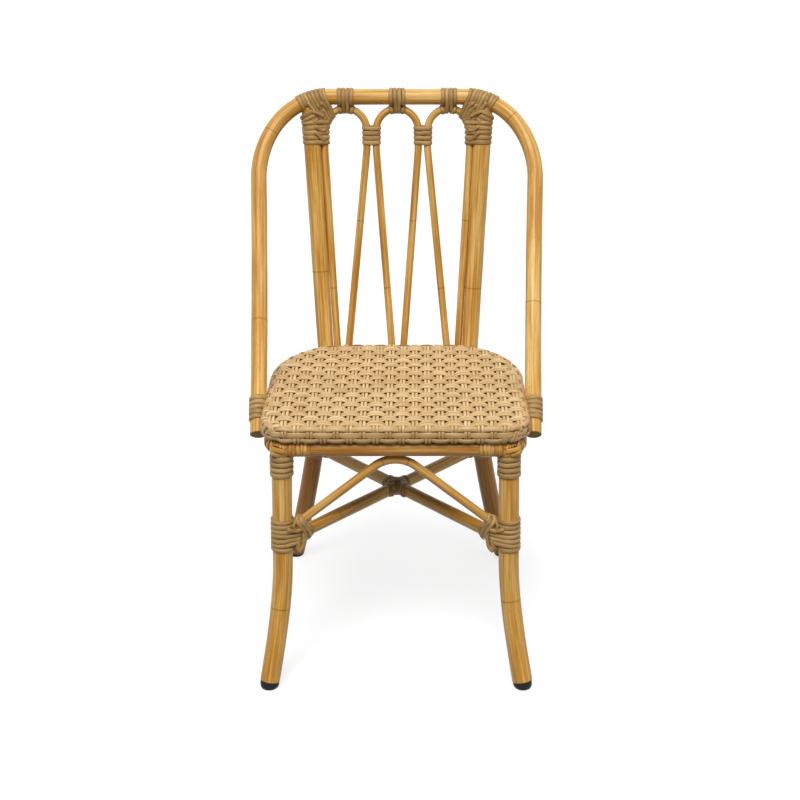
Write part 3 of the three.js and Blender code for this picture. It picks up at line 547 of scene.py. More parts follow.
def seat_outline(inset, steps=60):
    front_x, front_y = PAD_WIDTH - FRONT_CORNER, FRONT_CORNER - PAD_FRONT
    rear_x, rear_y = PAD_WIDTH - REAR_CORNER[0], PAD_REAR - REAR_CORNER[1]
    front = (FRONT_CORNER - inset, FRONT_CORNER - inset)
    rear = (REAR_CORNER[0] - inset, REAR_CORNER[1] - inset)
    corners = (
        (-rear_x, rear_y, rear, pi / 2),
        (-front_x, front_y, front, pi),
        (front_x, front_y, front, 1.5 * pi),
        (rear_x, rear_y, rear, 0),
    )
    points = []
    for x, y, (w, d), start in corners:
        for angle in np.linspace(start, start + pi / 2, steps):
            points.append((x + w * cos(angle), y + d * sin(angle)))
    return points


def ring_path():
    z = RING_Z + RING_LIFT
    points = [(x, y, z) for x, y in seat_outline(RING_INSET)]
    rear = PAD_REAR - RING_INSET
    return Path([(-GAP, rear, z)] + points + [(GAP, rear, z)])


hoop = hoop_path()
rears = {sign: rear_path(sign) for sign, _ in SIDES}
fronts = {sign: front_path(sign) for sign, _ in SIDES}
inner_foot, outer_foot = SIDE_FEET
hairpins = {
    -1: hairpin_path(-HAIRPIN_X, -outer_foot, -inner_foot),
    0: hairpin_path(0, *CENTRE_FEET),
    1: hairpin_path(HAIRPIN_X, inner_foot, outer_foot),
}
stretchers = {sign: stretcher_path(sign) for sign, _ in SIDES}
arch = arch_path(fronts[1])
ring = ring_path()

# Materials
WHITE = (1, 1, 1, 1)


def linear(*rgb):
    shares = [c / 255 for c in rgb]
    return (*[c / 12.92 if c <= 0.04045 else ((c + 0.055) / 1.055) ** 2.4 for c in shares], 1)


class Nodes:
    """Short calls for the node tree of a material or a world."""

    def __init__(self, owner):
        owner.use_nodes = True
        self.owner = owner
        self.tree = owner.node_tree
        self.tree.nodes.clear()

    def put(self, socket, value):
        if isinstance(value, bpy.types.NodeSocket):
            self.tree.links.new(value, socket)
        else:
            socket.default_value = value

    def add(self, kind, *values, **inputs):
        """A node with inputs in order or by name."""
        node = self.tree.nodes.new("ShaderNode" + kind)
        for socket, value in zip(node.inputs, values):
            self.put(socket, value)
        for key, value in inputs.items():
            self.put(node.inputs[key.replace("_", " ")], value)
        return node

    def out(self, kind, *values, **inputs):
        return self.add(kind, *values, **inputs).outputs[0]

    def math(self, operation, a, b):
        node = self.add("Math", a, b)
        node.operation = operation
        return node.outputs[0]

    def ramp(self, fac, *stops):
        node = self.add("ValToRGB", Fac=fac)
        elements = node.color_ramp.elements
        while len(elements) < len(stops):
            elements.new(0.5)
        for element, (place, colour) in zip(elements, stops):
            element.position = place
            element.color = colour
        return node.outputs["Color"]

    def mix(self, fac, a, b, blend="MIX"):
        node = self.add("Mix")
        node.data_type = "RGBA"
        node.blend_type = blend
        for name, value in (("Factor_Float", fac), ("A_Color", a), ("B_Color", b)):
            self.put(next(s for s in node.inputs if s.identifier == name), value)
        return next(s for s in node.outputs if s.identifier == "Result_Color")

    def attribute(self, name, output):
        node = self.add("Attribute")
        node.attribute_name = name
        return node.outputs[output]

    def coat(self, colour, noise, smooth, rough, bump, depth, gloss):
        """A surface whose roughness and relief follow a noise."""
        rough = self.out("MapRange", Value=noise, To_Min=smooth, To_Max=rough)
        relief = self.out("Bump", Height=noise, Strength=bump, Distance=depth)
        inputs = {"Base_Color": colour, "Roughness": rough, "Normal": relief, "Specular_IOR_Level": gloss}
        return self.surface(self.out("BsdfPrincipled", **inputs))

    def surface(self, shader, kind="OutputMaterial"):
        self.put(self.add(kind).inputs["Surface"], shader)
        return self.owner


def cane_material(name, stops, streak, tint, tint_share=0.7, rough=0.44, gloss=0.4, bump=0.5):
    """Lengthwise streaks, slow blotches, a tint by strand or node that also carries painted shade, and pith
    on cut ends.
    """
    n = Nodes(bpy.data.materials.new(name))
    grain = n.attribute("grain", "Vector")
    tone = n.attribute("tone", "Fac")
    long = n.out("Mapping", Vector=grain, Scale=(1, 1, 0.022))
    wide = n.out("Mapping", Vector=grain, Scale=(1, 1, 0.12))
    fine = n.out("TexNoise", Vector=long, Scale=streak, Detail=5, Roughness=0.6)
    blotch = n.out("TexNoise", Vector=wide, Scale=streak * 0.16, Detail=3)
    speck = n.out("TexNoise", Vector=wide, Scale=streak * 2.2, Detail=2)
    pores = n.out("TexNoise", Vector=grain, Scale=1400, Detail=3)
    fac = n.math("ADD", n.math("MULTIPLY", fine, 0.62), n.math("MULTIPLY", blotch, 0.38))
    colour = n.ramp(fac, *[(place, linear(*rgb)) for place, *rgb in stops])
    cut = n.math("GREATER_THAN", tone, 1.5)
    shade = n.math("MULTIPLY", n.math("MINIMUM", tone, 1), tint_share)
    colour = n.mix(shade, colour, linear(*tint), "MULTIPLY")
    dust = n.ramp(speck, (0.30, (0.72, 0.66, 0.55, 1)), (0.42, WHITE))
    colour = n.mix(0.5, colour, dust, "MULTIPLY")
    pith = n.ramp(pores, (0.35, linear(140, 112, 76)), (0.65, linear(206, 178, 138)))
    gloss = n.math("MULTIPLY", n.math("SUBTRACT", 1, cut), gloss)
    return n.coat(n.mix(cut, colour, pith), fine, rough - 0.07, rough + 0.09, bump, 0.0004, gloss)


def noisy_material(name, dark, light, scale, rough, bump, gloss):
    """A plain dull surface with fine mottling."""
    n = Nodes(bpy.data.materials.new(name))
    place = n.add("TexCoord").outputs["Object"]
    noise = n.out("TexNoise", Vector=place, Scale=scale, Detail=4)
    colour = n.ramp(noise, (0.35, linear(*dark)), (0.65, linear(*light)))
    return n.coat(colour, noise, rough - 0.08, rough + 0.08, bump, 0.0003, gloss)


stops = ((0.28, 148, 90, 16), (0.46, 194, 139, 54), (0.56, 217, 173, 96), (0.72, 238, 208, 148))
cane = cane_material("cane", stops, 330, (190, 148, 84), rough=0.33, gloss=0.25, bump=0.25)
stops = ((0.28, 124, 91, 40), (0.46, 168, 132, 74), (0.58, 190, 155, 96), (0.74, 216, 186, 132))
strand = cane_material("strand", stops, 900, (186, 162, 124))
stops = ((0.28, 160, 120, 68), (0.45, 210, 176, 120), (0.58, 234, 206, 156), (0.70, 254, 238, 204))
weave = cane_material("weave", stops, 800, (192, 168, 132), tint_share=0.85)
# The seat's body is near black: painted shade seen through the holes of the weave
core = noisy_material("core", (26, 15, 5), (52, 32, 12), 300, rough=0.8, bump=0.5, gloss=0.1)
rubber = noisy_material("rubber", (12, 12, 14), (24, 24, 28), 500, rough=0.55, bump=0.4, gloss=0.25)
steel = noisy_material("steel", (120, 118, 112), (160, 158, 150), 700, rough=0.4, bump=0.2, gloss=0.5)


# Poles
def add_pole(name, node, path, radius, **shape):
    shell = Shell()
    add_tube(shell, path, radius, **shape)
    shell.piece(name, "cane", cane, node)


def below_cut(path):
    """Length at which a pole is cut for its foot."""
    return path.where(Z, POLE_CUT_Z, 0, path.total * 0.5)


def rear_radii(pole):
    """A taper from the stretchers to the ring, then a slight swelling towards the top."""
    z = pole.points[:, 2]
    taper = np.clip((z - STRETCHER_Z) / (RING_Z - RING_RADIUS - STRETCHER_Z), 0, 1)
    swell = np.clip((z - SEAT_TOP) / 380, 0, 1) * POST_SWELL
    return REAR_RADIUS + (POST_RADIUS - REAR_RADIUS) * taper + swell


# Painted shade of the seat: the rear poles get a darker tone below the ring
def seat_shade_below(height):
    return np.clip((RING_Z + 30 - height) / 60, 0, 1)


HOOP_NODES = (210, 560, 1010, 1360, 1690)
add_pole("hoop", "hoop_frame", hoop, HOOP_RADIUS, marks=HOOP_NODES, low=HOOP_CUT, high=hoop.total - HOOP_CUT)
for i, (sign, name) in enumerate(SIDES):
    leg, pole = fronts[sign], rears[sign]
    low = below_cut(leg)
    shape = {"marks": (low + 128 + 14 * i,), "low": low}
    add_pole("leg_front_" + name, "front_leg_" + name, leg, LEG_RADIUS, **shape)
    low = below_cut(pole)
    shape = {"marks": (low + 590 - 30 * i,), "low": low, "high": pole.total - 5}
    # Darker tone below the seat on the rear poles: painted shade of the seat
    shape["tone"] = seat_shade_below
    add_pole("pole_rear_" + name, "rear_pole_" + name, pole, rear_radii(pole), **shape)
for place, name in PINS:
    add_pole("cane_" + name, "back_cane_" + name, hairpins[place], CANE_RADIUS, sides=20, marks=(150, 700))
for rod, name in zip(stretchers.values(), ("upper", "lower")):
    add_pole("stretcher_rod_" + name, "stretcher_" + name, rod, STRETCHER_RADIUS, sides=24, marks=(130,))
arch_nodes = (arch.total / 2 - 20, arch.total / 2 + 20)
add_pole("arch_rod", "front_arch_brace", arch, ARCH_RADIUS, sides=20, marks=arch_nodes, tone=0.3)
# The ring's darker tone is painted shade of the seat above it
add_pole("ring", "seat_ring", ring, RING_RADIUS, round_ends=0.8, tone=0.8)

# Profile of a foot: share of the way down from the pole's cut, and radius
FOOT_PROFILE = ((0, 13), (0, 15.3), (0.06, 15.6), (0.5, 15.4), (0.75, 14.4), (0.9, 12.6), (0.97, 11), (1, 10))
FOOT_DRIFT = 8
FOOT_SIDES = 36


def add_foot(name, pole):
    """A plug that turns from square to the pole to flat on the floor."""
    top, axis = pole.at(below_cut(pole))
    up = np.array(UPWARD)
    floor_point = (top - axis * FOOT_DRIFT) * (1, 1, 0)
    angles = np.arange(FOOT_SIDES) * 2 * pi / FOOT_SIDES
    rows = []
    for share, radius in FOOT_PROFILE:
        normal = unit(axis * (1 - share) + up * share)
        centre = top * (1 - share) + floor_point * share
        e1 = unit(np.cross(normal, [0, 1, 0]))
        e2 = np.cross(normal, e1)
        rows.append([centre + radius * (e1 * cos(-a) + e2 * sin(-a)) for a in angles])
    rows = np.array(rows)
    shell = Shell()
    shell.rows(rows, rows.copy(), 0)
    shell.piece("plug_" + name, "foot", rubber, "foot_" + name)


for sign, name in SIDES:
    add_foot("front_" + name, fronts[sign])
    add_foot("rear_" + name, rears[sign])

# Lashings
HOOP_TUBE = (hoop, HOOP_RADIUS)


def lash(shell, part, name, slot="strand", material=strand):
    """Makes the mesh of a winding in place of the solid of the same name."""
    shell.piece(f"{part}_wrap_{name}", slot, material, f"{part}_lash_{name}")


def mirrored(sign, run):
    """A run of spots (x, z), given for the left side."""
    return [(-sign * x, z) for x, z in run]


def wrap(part, name, *place, **shape):
    """A winding that is one row of loops."""
    shell = Shell()
    add_wrap(shell, *place, **shape)
    lash(shell, part, name)


def loop_at(shell, poles, path, s, width, thick=2.5, towards=UPWARD, lean=0):
    """A loop at a length of a path, square to it or turned."""
    point, tangent = path.at(s)
    normal = tilted(tangent, towards, lean) if lean else tangent
    add_loop(shell, poles, point, normal, width, thick)


def drape_runs(shell, tubes, sign, runs, width):
    """Draped strands, each given as its lift and its spots."""
    for lift, *run in runs:
        add_draped(shell, tubes, mirrored(sign, run), width, lift=lift)


for place, name in PINS:
    shell = Shell()
    pin = hairpins[place]
    for step in (-1.5, -0.5, 0.5, 1.5):
        s = hoop.where(X, place * HAIRPIN_X + step * 7)
        under = [HOOP_TUBE, (pin, CANE_RADIUS)] if abs(step) < 1 else [HOOP_TUBE]
        loop_at(shell, under, hoop, s, width=7.1, thick=2.6, lean=rng.uniform(-2, 2))
    for side in (-1, 1):
        loop_at(shell, [(pin, CANE_RADIUS)], pin, pin.total / 2 + side * 10.4, width=7.2, thick=2.3)
    lash(shell, "crest", name)

# Corners of the hoop: span of the loops, and the strands that cross in front
CORNER_X = (166.5, 123.5)
CORNER_LOOPS = 8
OUTER_LOOPS = 3
CORNER_RUNS = (
    (1, (-167.5, 848), (-163, 855), (-153, 862), (-144, 867)),
    (0.8, (-166, 841), (-160, 849), (-149, 855), (-139, 858)),
    (1, (-154, 881), (-149, 874), (-143, 864)),
    (2.6, (-148, 866), (-138, 861), (-130, 855), (-122, 847)),
    (1.6, (-139, 877), (-131, 868), (-126, 859), (-121, 851)),
    (1, (-133, 880), (-125, 873), (-121, 866), (-119, 857)),
    (0.6, (-146, 846), (-138.4, 852.5), (-131, 847)),
)


def wrap_corner(sign, name):
    """Loops over the hoop, fanned out, then the strands in front of the joint."""
    post, pin = rears[sign], hairpins[sign]
    start, stop = [hoop.where(X, sign * x, *hoop.half(sign)) for x in CORNER_X]
    shell = Shell()
    for step in range(CORNER_LOOPS):
        if step == OUTER_LOOPS:
            lash(shell, "corner", "outer_" + name)
            shell = Shell()
        s = start + (stop - start) * step / (CORNER_LOOPS - 1)
        under = [HOOP_TUBE]
        if step >= OUTER_LOOPS:
            under.append((pin, CANE_RADIUS, *pin.half(sign)))
        loop_at(shell, under, hoop, s, width=7, lean=-sign * (5 + 1.9 * step))
    joint = [(hoop, HOOP_RADIUS + 2.4), (post, POST_RADIUS), (pin, CANE_RADIUS)]
    drape_runs(shell, joint, sign, CORNER_RUNS, width=7.2)
    for step in range(3):
        s = pin.total / 2 + sign * (30 + 6.8 * step)
        loop_at(shell, [(pin, CANE_RADIUS)], pin, s, width=7.2, thick=2.6)
    lash(shell, "corner", "inner_" + name)


# Post and outer cane: top loop, pitch and the strands across them
POST_TOP_LOOP = 843
POST_PITCH = 8.2
POST_RUNS = (
    (6.6, 0.6, (-141, 841), (-136.4, 834.5), (-131.6, 831.6), (-122, 832)),
    (7, 0.8, (-143, 832), (-137, 824.5), (-131, 817), (-122, 816)),
)


def wrap_post(sign, name):
    post, pin = rears[sign], hairpins[sign]
    shell = Shell()
    pair = [(post, POST_RADIUS), (pin, CANE_RADIUS)]
    for step in range(5):
        point, tangent = post.at(post.where(Z, POST_TOP_LOOP - POST_PITCH * step, 200))
        turn = sign * (3 - step) + rng.uniform(-1, 1)
        level = tilted(tangent * (0, 1, 1), OUTWARD, turn)
        add_loop(shell, pair, point, level, width=8.5, thick=2.7)
    wrapped_pair = [(post, POST_RADIUS + 2.6), (pin, CANE_RADIUS + 2.6)]
    for width, *run in POST_RUNS:
        drape_runs(shell, wrapped_pair, sign, [run], width)
    lash(shell, "post", name)


def wrap_fork(sign, name):
    """Where two hairpins meet, along a guide between them."""
    centre, side = hairpins[0], hairpins[sign]
    x = sign * HAIRPIN_X / 2
    guide = Path([(x, 244, 780), (x, 247, 850)])
    legs = [(centre, CANE_RADIUS, *centre.half(sign)), (side, CANE_RADIUS, *side.half(-sign))]
    span = (guide.where(Z, 804.5), guide.where(Z, 837.5))
    wrap("fork", name, legs, guide, span, count=4, width=8.1, thick=2)


def wrap_hoop_end(sign, name):
    near = hoop.end(sign, 0, 300)
    span = (hoop.where(Z, 427, *near), hoop.where(Z, 456, *near))
    wrap("hoop_end", name, [HOOP_TUBE], hoop, span, count=5, width=9)


# Front leg: heights of the loops, with the lean of the lower ones
LEG_TOP_SPAN = (367, 404)
LEG_UPPER_LOOPS = (290.7, 283)
LEG_LOWEST_LOOP = 242.5
LEG_MID_LOOPS = ((274.8, 0), (266.6, 0), (258.6, 2), (250.6, 6))
LEG_RUNS = (
    (1.2, (-173, 281), (-166.5, 277), (-159.2, 274), (-147, 277)),
    (0, (-149.5, 276), (-147.6, 266), (-147.2, 256), (-149.5, 245), (-157, 236)),
    (-1, (-156, 262), (-156, 250), (-158, 238)),
    (0.4, (-162.5, 276), (-163.5, 284), (-159, 291), (-154.9, 298.2)),
)


def wrap_front_leg(sign, name):
    """Top, above the heel, and round the leg and the heel of the arch brace."""
    leg = fronts[sign]
    bare = [(leg, LEG_RADIUS)]
    heel = (arch, ARCH_RADIUS, *arch.end(sign, 0, 70))
    span = [leg.height(z) for z in LEG_TOP_SPAN]
    wrap("leg_top", name, bare, leg, span, count=4, width=9.1, thick=2.9, lean=1)
    shell = Shell()
    for z in LEG_UPPER_LOOPS:
        turn = rng.uniform(0, 2)
        loop_at(shell, bare, leg, leg.height(z), width=7.9, thick=2.8, towards=FORWARD, lean=turn)
    lash(shell, "leg_upper", name)
    shell = Shell()
    loop_at(shell, bare, leg, leg.height(LEG_LOWEST_LOOP), width=8, thick=2.8)
    loop_at(shell, [heel], arch, arch.end(sign, 7, 7)[0], width=9, thick=2.8)
    for z, lean in LEG_MID_LOOPS:
        turn = {"towards": OUTWARD, "lean": lean * sign}
        loop_at(shell, [*bare, heel], leg, leg.height(z), width=8.1, thick=2.9, **turn)
    joint = [(leg, LEG_RADIUS + 2.4), (arch, ARCH_RADIUS + 2.4)]
    drape_runs(shell, joint, sign, LEG_RUNS, width=7.4)
    lash(shell, "leg_mid", name)


# Strands over the top of the leg at the ring's corner
RING_STRAND = 1.3
RING_RUNS = (
    (7.6, (-196.5, 422.5), (-192, 420), (-184, 417.5), (-170, 414.5)),
    (7.2, (-198, 417), (-194, 413), (-187, 409), (-180, 407)),
    (6.8, (-194, 404), (-190, 407.5), (-181, 411), (-174, 408), (-169, 404)),
)


def wrap_ring_corner(sign, name):
    """Beside the leg, round the corner and in front of the leg, with stitches above."""
    beside = ring.where(X, sign * 132, *ring.half(sign))
    tube = [(ring, RING_RADIUS)]
    shell = Shell()
    span = sorted((beside, beside + sign * 41))
    add_wrap(shell, tube, ring, span, count=7, width=6.2, thick=RING_STRAND)
    span = sorted((beside + sign * 52, beside + sign * 96))
    turn = {"lean": 10 * sign, "towards": UPWARD}
    add_wrap(shell, tube, ring, span, count=5, width=9.4, thick=RING_STRAND, **turn)
    joint = [(ring, RING_RADIUS + 1), (fronts[sign], LEG_RADIUS)]
    for width, *run in RING_RUNS:
        add_draped(shell, joint, mirrored(sign, run), width, thick=RING_STRAND)
    for step in range(6):
        x, drop = -193 + 4.4 * step, 0.5 * step
        stitch = [(x - 1.4, 427.5 - drop), (x + 1.4, 421 - drop)]
        add_draped(shell, joint, mirrored(sign, stitch), width=4.2, thick=RING_STRAND, lift=0.3)
    shell.tone = [0.2 + 0.5 * tone for tone in shell.tone]
    lash(shell, "ring", name, "cane", cane)


# Strands down over an end of the arch brace: shift to the right, and lift
BRACE_RUN = ((-161, 295), (-154, 285), (-148, 272), (-145, 260), (-146, 251))
BRACE_SHIFTS = ((0, 1.4), (6.4, 0.8))


def wrap_arch_end(sign, name):
    brace = (arch, ARCH_RADIUS, *arch.end(sign, 0, 110))
    pair = [(arch, ARCH_RADIUS + 1.6), (stretchers[sign], STRETCHER_RADIUS + 1.6)]
    shell = Shell()
    span = arch.end(sign, 47, 63)
    add_wrap(shell, [brace], arch, span, count=2, width=8.4, thick=2.6, lean=14, towards=UPWARD)
    for shift, lift in BRACE_SHIFTS:
        run = [(x + shift, z) for x, z in BRACE_RUN]
        add_draped(shell, pair, mirrored(sign, run), width=7.4, lift=lift)
    lash(shell, "arch_end", name)


def wrap_stretcher(sign, name):
    """Both ends and beside the crossing, with strands over the joint."""
    rod = stretchers[sign]
    bare = [(rod, STRETCHER_RADIUS)]
    cross = rod.where(X, 0)
    wrap("stretcher_front", name, bare, rod, (24, 62), count=5, width=7.4, thick=2.6)
    wrap("stretcher_rear", name, bare, rod, rod.end(1, 18, 40), count=3, width=7.4)
    shell = Shell()
    add_wrap(shell, bare, rod, (cross - 25, cross - 11), count=2, width=7.2, thick=2.2)
    # Round the joint from front to back for one stretcher, from side to side for the other
    both = [(path, STRETCHER_RADIUS) for path in stretchers.values()]
    way, other = ((1, 0, 0), (0, 1, 0))[::-sign]
    lift = 0.2 if sign < 0 else 2
    middle = rod.at(cross)[0]
    for turn in (-14, 4, 16):
        point = middle + np.array(way) * turn * 0.3
        normal = tilted(way, other, turn)
        add_loop(shell, both, point, normal, width=6.4, thick=2.4, lift=lift, ref=UPWARD)
    lash(shell, "cross", "front_" + name)
    wrap("cross", "rear_" + name, bare, rod, (cross + 11, cross + 25), count=2, width=7.2, thick=2.2)


def wrap_rear_leg(sign, name):
    pole = rears[sign]
    span = (pole.height(233), pole.height(271))
    wrap("rear_leg", name, [(pole, REAR_RADIUS)], pole, span, count=5, width=8.2)


WINDINGS = (wrap_corner, wrap_post, wrap_fork, wrap_hoop_end, wrap_front_leg)
WINDINGS += (wrap_ring_corner, wrap_arch_end, wrap_stretcher, wrap_rear_leg)
for sign, name in SIDES:
    for winding in WINDINGS:
        winding(sign, name)

for node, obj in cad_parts.items():
    if "screw" in node:
        obj.data.materials.clear()
        obj.data.materials.append(steel)

# Woven seat: pitches and counts of the strips, height of their wave, thickness
WARP_PITCH = 20.5
WEFT_PITCH = 21
WARP_COUNT = 20
WEFT_COUNT = 18
FIRST_WEFT = 14
WAVE = 2.2
STRIP = 2.1
# A strip is a pair of strands: offset and width of each
WARP_PAIR = ((-2.8, 5.3), (2.8, 5.3))
WEFT_PAIR = ((-4.95, 9.7), (4.95, 9.7))
# Strands round the edge: place outside the inner outline, width, swing and sink. The last is
# flat, under the others
BANDS = ((7.8, 9.8), (18.9, 10.4), (28.4, 8.6))
ROUND = [(place, width, 0.58 * WAVE, -0.7) for place, width in BANDS] + [(-1, 10.5, 0, -2.1)]
# The flat weave is carried over a quarter round edge and down the wall
EDGE_ARC = EDGE_SOFT * pi / 2
WALL = SEAT_TOP - PAD_LOW - 2 * EDGE_SOFT
REACH_END = EDGE_ARC + WALL + EDGE_SOFT
SURFACE_Z = SEAT_TOP - WAVE - STRIP * 0.6
SAMPLE = 1.6
# Section of the dark body behind the strips, whose near-black colour is painted shade in the holes of the
# weave: place outside the inner outline, and height
CORE = ((-60, 453.2), (-8, 453.2), (-3, 454.2), (1.5, 454.2), (4.2, 453.4))
CORE += ((6.2, 450.4), (6.4, 441), (4.6, 436), (-2, 434.8), (-60, 434.8))

inner = np.array(seat_outline(EDGE_SOFT, 90))
inner = inner[np.concatenate([[True], norm(np.diff(inner, axis=0), axis=1) > 0.01])]
inner_closed = np.vstack([inner, inner[:1]])
inner_step = np.diff(inner_closed, axis=0)
inner_length = running_length(inner_closed)


def outward_from(line):
    """Directions out of a closed anticlockwise line."""
    step = np.roll(line, -1, axis=0) - np.roll(line, 1, axis=0)
    return unit(np.column_stack([step[:, 1], -step[:, 0]]))


def nearest_inner(points):
    """Nearest place on the inner outline: distance (below 0 inside), point and length."""
    start = inner_closed[:-1]
    square = (inner_step**2).sum(1)
    offset = points[:, None] - start[None]
    share = np.clip((offset * inner_step[None]).sum(2) / square[None], 0, 1)
    foot = start[None] + inner_step[None] * share[:, :, None]
    gap = norm(points[:, None] - foot, axis=2)
    best = gap.argmin(1)
    rows = np.arange(len(points))
    chosen = inner_step[best]
    outside = chosen[:, 1] * offset[rows, best, 0] - chosen[:, 0] * offset[rows, best, 1] > 0
    distance = np.where(outside, gap[rows, best], -gap[rows, best])
    length = inner_length[best] + share[rows, best] * np.sqrt(square[best])
    return distance, foot[rows, best], length


def wrapped(points):
    """The flat weave laid on the seat: places, normals and distance from the outline."""
    distance, foot, _ = nearest_inner(points)
    out = np.maximum(distance, 0)
    direction = points - foot
    size = norm(direction, axis=1)
    direction = np.where(size[:, None] > 1e-6, direction / np.maximum(size, 1e-6)[:, None], 0)
    angle = np.minimum(out / EDGE_SOFT, pi / 2)
    fall = np.clip(out - EDGE_ARC, 0, WALL)
    under = np.clip(out - EDGE_ARC - WALL, 0, None) / EDGE_SOFT
    reach = EDGE_SOFT * np.sin(angle) - EDGE_SOFT * (1 - np.cos(under))
    drop = EDGE_SOFT * (1 - np.cos(angle)) + fall + EDGE_SOFT * np.sin(under)
    inside = distance <= 0
    flat = np.where(inside[:, None], points, foot + direction * reach[:, None])
    places = np.column_stack([flat, SURFACE_Z - np.where(inside, 0, drop)])
    level = np.where(inside, 1, np.cos(angle + under))
    side = np.where(inside, 0, np.sin(angle + under))
    return places, unit(np.column_stack([direction * side[:, None], level])), distance


def crown(x):
    """A wave that stays longer at its tops."""
    return np.sin(pi / 2 * np.clip(x, -1, 1))


def knot_heights(places, knots, signs):
    """Height of a strip, swinging from knot to knot."""
    order = np.argsort(knots)
    knots, signs = np.asarray(knots)[order], np.asarray(signs, float)[order]
    index = np.clip(np.searchsorted(knots, places) - 1, 0, len(knots) - 2)
    share = np.clip((places - knots[index]) / (knots[index + 1] - knots[index]), 0, 1)
    blend = (1 - np.cos(share * pi)) / 2
    return crown(signs[index] * (1 - blend) + signs[index + 1] * blend)


class Strip:
    """A pair of strands: the weft runs along x, the warp along y."""

    def __init__(self, weft, number, fixed):
        self.weft, self.number, self.fixed = weft, number, fixed
        self.axis = 0 if weft else 1
        run, points = self.line(-PAD_WIDTH - 30, PAD_WIDTH + 30)
        distance, _, length = nearest_inner(points)
        ends = np.nonzero(distance < 0)[0][[0, -1]]
        self.low, self.high = run[ends]
        self.exits = length[ends]

    def line(self, low, high):
        """Flat samples, past the foot of the wall on both ends."""
        run = np.arange(low - 60, high + 60, SAMPLE)
        points = np.zeros((len(run), 2))
        points[:, self.axis] = run
        points[:, 1 - self.axis] = self.fixed
        return run, points


columns = [(k - (WARP_COUNT - 1) / 2) * WARP_PITCH for k in range(WARP_COUNT)]
rows_y = [-PAD_FRONT + FIRST_WEFT + WEFT_PITCH * k for k in range(WEFT_COUNT)]
strips = [Strip(False, k, x) for k, x in enumerate(columns)]
strips += [Strip(True, k, y) for k, y in enumerate(rows_y)]
# Ends of the strips in order round the outline: every second one passes over a band
ends = sorted((length, k, end) for k, strip in enumerate(strips) for end, length in enumerate(strip.exits))
order_of = {(k, end): place for place, (_, k, end) in enumerate(ends)}
warp_shell, weft_shell = Shell(), Shell()


def knots_of(index, strip):
    """Where a strip goes over (1) or under (-1) what it crosses."""
    knots, signs = [], []
    for other, place in enumerate(columns if strip.weft else rows_y):
        if strip.low + 1 < place < strip.high - 1:
            knots.append(place)
            signs.append(1 if ((other + strip.number) % 2 == 0) == strip.weft else -1)
    for end, edge, step in ((0, strip.low, -1), (1, strip.high, 1)):
        for band_index, (band, _) in enumerate(BANDS):
            knots.append(edge + step * band)
            signs.append(1 if (order_of[index, end] + band_index) % 2 == 0 else -1)
    return knots, signs


def add_strip(index, strip):
    weft = strip.weft
    shell = weft_shell if weft else warp_shell
    run, points = strip.line(strip.low, strip.high)
    wave = knot_heights(run, *knots_of(index, strip))
    for offset, width in WEFT_PAIR if weft else WARP_PAIR:
        gather = 1 - 0.04 * (1 - wave) if weft else 1
        bend = points.copy()
        bend[:, 1 - strip.axis] += offset * gather + rng.uniform(-0.25, 0.25)
        places, normals, distance = wrapped(bend)
        keep = (distance < REACH_END) & (run > strip.low - 50) & (run < strip.high + 50)
        outer = np.clip(distance / 10, 0, 1)
        slow = 0.22 * np.sin(run / 37 + random_phase())
        flatter = 1 - 0.42 * np.clip((distance + 5) / 9, 0, 1)
        height = WAVE * wave * flatter + slow * 0.4
        places = places + normals * (height - STRIP * 0.35)[:, None]
        narrow = 1 - (0.35 if weft else 0.05) * outer
        tighter = 0.93 + 0.07 * wave if weft else 1
        widths = width * narrow * tighter * rng.uniform(0.97, 1.03)
        # Darker tone on the seat's wall and underside: painted shade, as the light falls from above
        wall_shade = np.clip((distance - 4) / 12, 0, 1) * 0.9
        tones = np.maximum(rng.uniform(0, 0.5), wall_shade)[keep]
        add_strand(shell, places[keep], normals[keep], widths[keep], STRIP, tone=tones[:, None])


def add_band(index, band, width, swing, sink):
    """A strand all round the edge, over and under the strips' ends."""
    total = inner_length[-1]
    s = np.arange(0, total, SAMPLE)
    flat = between(s, inner_length, inner_closed)
    places, normals, _ = wrapped(flat + outward_from(flat) * band)
    knots = np.array([length for length, _, _ in ends])
    signs = 2 * ((np.arange(len(ends)) + index) % 2) - 1
    knots = np.concatenate([knots[-2:] - total, knots, knots[:2] + total])
    signs = np.concatenate([signs[-2:], signs, signs[:2]])
    height = swing * knot_heights(s, knots, signs) + sink
    places = places + normals * height[:, None]
    add_strand(weft_shell, places, normals, width, STRIP, closed=True, tone=0.7)


for index, strip in enumerate(strips):
    add_strip(index, strip)
for index, band in enumerate(ROUND):
    add_band(index, *band)

body = []
for out, z in reversed(CORE):
    # The middle of the top and of the underside shrinks to a small face
    flat = inner * 0.02 if out < -10 else inner + outward_from(inner) * out
    body.append(np.column_stack([flat, np.full(len(flat), z)]))
body = np.array(body)
shell = Shell()
shell.rows(body, body.copy(), 0)
shell.piece("seat_core", "weave", core, "seat_panel")
weft_shell.piece("seat_weft", "weave", weave, "seat_panel")
warp_shell.piece("seat_warp", "weave", weave, "seat_panel")

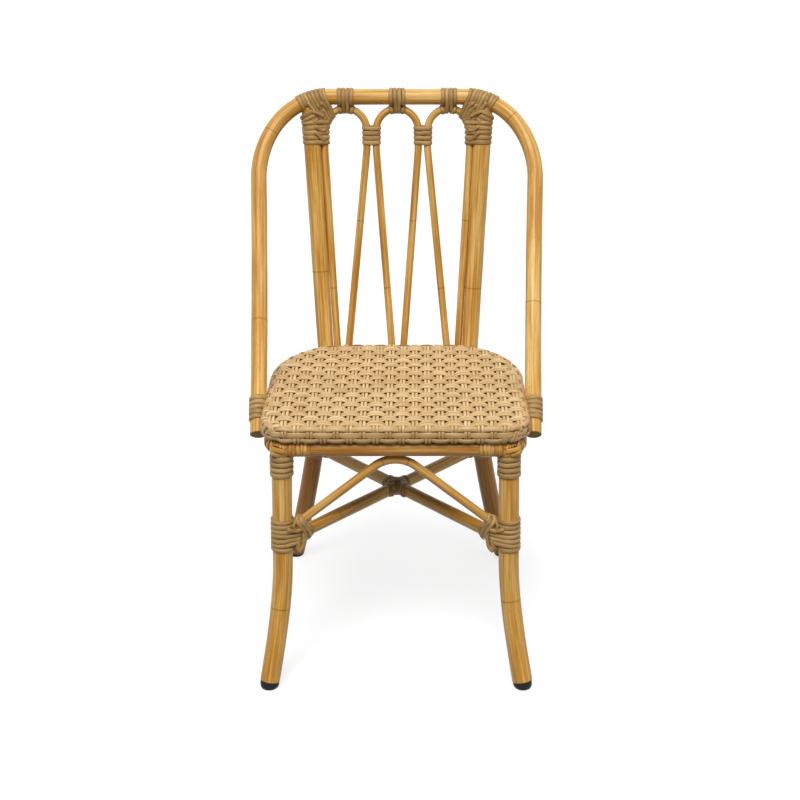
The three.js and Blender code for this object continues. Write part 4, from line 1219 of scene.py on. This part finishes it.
# Floor, world, lamps and camera
scene = bpy.context.scene
FLOOR_HALF = 20
FLOOR_GREY = (0.2, 0.2, 0.2, 1)
LIT_GREY = (0.32, 0.32, 0.32, 1)
FLOOR_GLOW = 0.74
SKY_LOW, SKY_HIGH = 0.28, 0.7


def seen_or(n, hidden, seen):
    """One shader for lighting, another for the camera, mirrors and glass."""
    path = n.add("LightPath").outputs
    fac = n.math("MAXIMUM", path["Is Camera Ray"], path["Is Glossy Ray"])
    fac = n.math("MAXIMUM", fac, path["Is Transmission Ray"])
    return n.out("MixShader", fac, hidden, seen)


n = Nodes(bpy.data.materials.new("floor"))
plain = n.out("BsdfDiffuse", Color=FLOOR_GREY)
lit = n.out("BsdfDiffuse", Color=LIT_GREY)
glow = n.out("Emission", Color=WHITE, Strength=FLOOR_GLOW)
bright = n.out("AddShader", lit, glow)
mesh = bpy.data.meshes.new("floor")
corners = [(x * FLOOR_HALF, y * FLOOR_HALF, 0) for x, y in ((-1, -1), (1, -1), (1, 1), (-1, 1))]
mesh.from_pydata(corners, [], [(0, 1, 2, 3)])
mesh.materials.append(n.surface(seen_or(n, plain, bright)))
floor = placed("floor", mesh)

n = Nodes(bpy.data.worlds.new("studio"))
direction = n.add("TexCoord").outputs["Generated"]
height = n.add("SeparateXYZ", direction).outputs["Z"]
rise = n.out("MapRange", Value=height, To_Min=SKY_LOW, To_Max=SKY_HIGH)
sky = n.out("Background", Color=WHITE, Strength=rise)
white = n.out("Background", Color=WHITE, Strength=1)
scene.world = n.surface(seen_or(n, sky, white), "OutputWorld")


def add_sun(name, azimuth, elevation, strength, spread):
    """A broad lamp: azimuth 0 comes from the front, positive from the viewer's right."""
    light = bpy.data.lights.new(name, "SUN")
    light.energy = strength
    light.angle = radians(spread)
    placed(name, light).rotation_euler = (radians(90 - elevation), 0, radians(azimuth))


add_sun("key", azimuth=-12, elevation=57, strength=2.3, spread=24)
add_sun("fill", azimuth=55, elevation=45, strength=0.3, spread=40)

scene.view_settings.view_transform = "Standard"
data = bpy.data.cameras.new("camera")
data.lens = 72
data.sensor_width = 36
data.shift_x = -0.0195
camera = placed("camera", data)
camera.location = (0.032, -2.5448, 1.380)
camera.rotation_euler = (radians(69.2), 0, 0)
scene.camera = camera
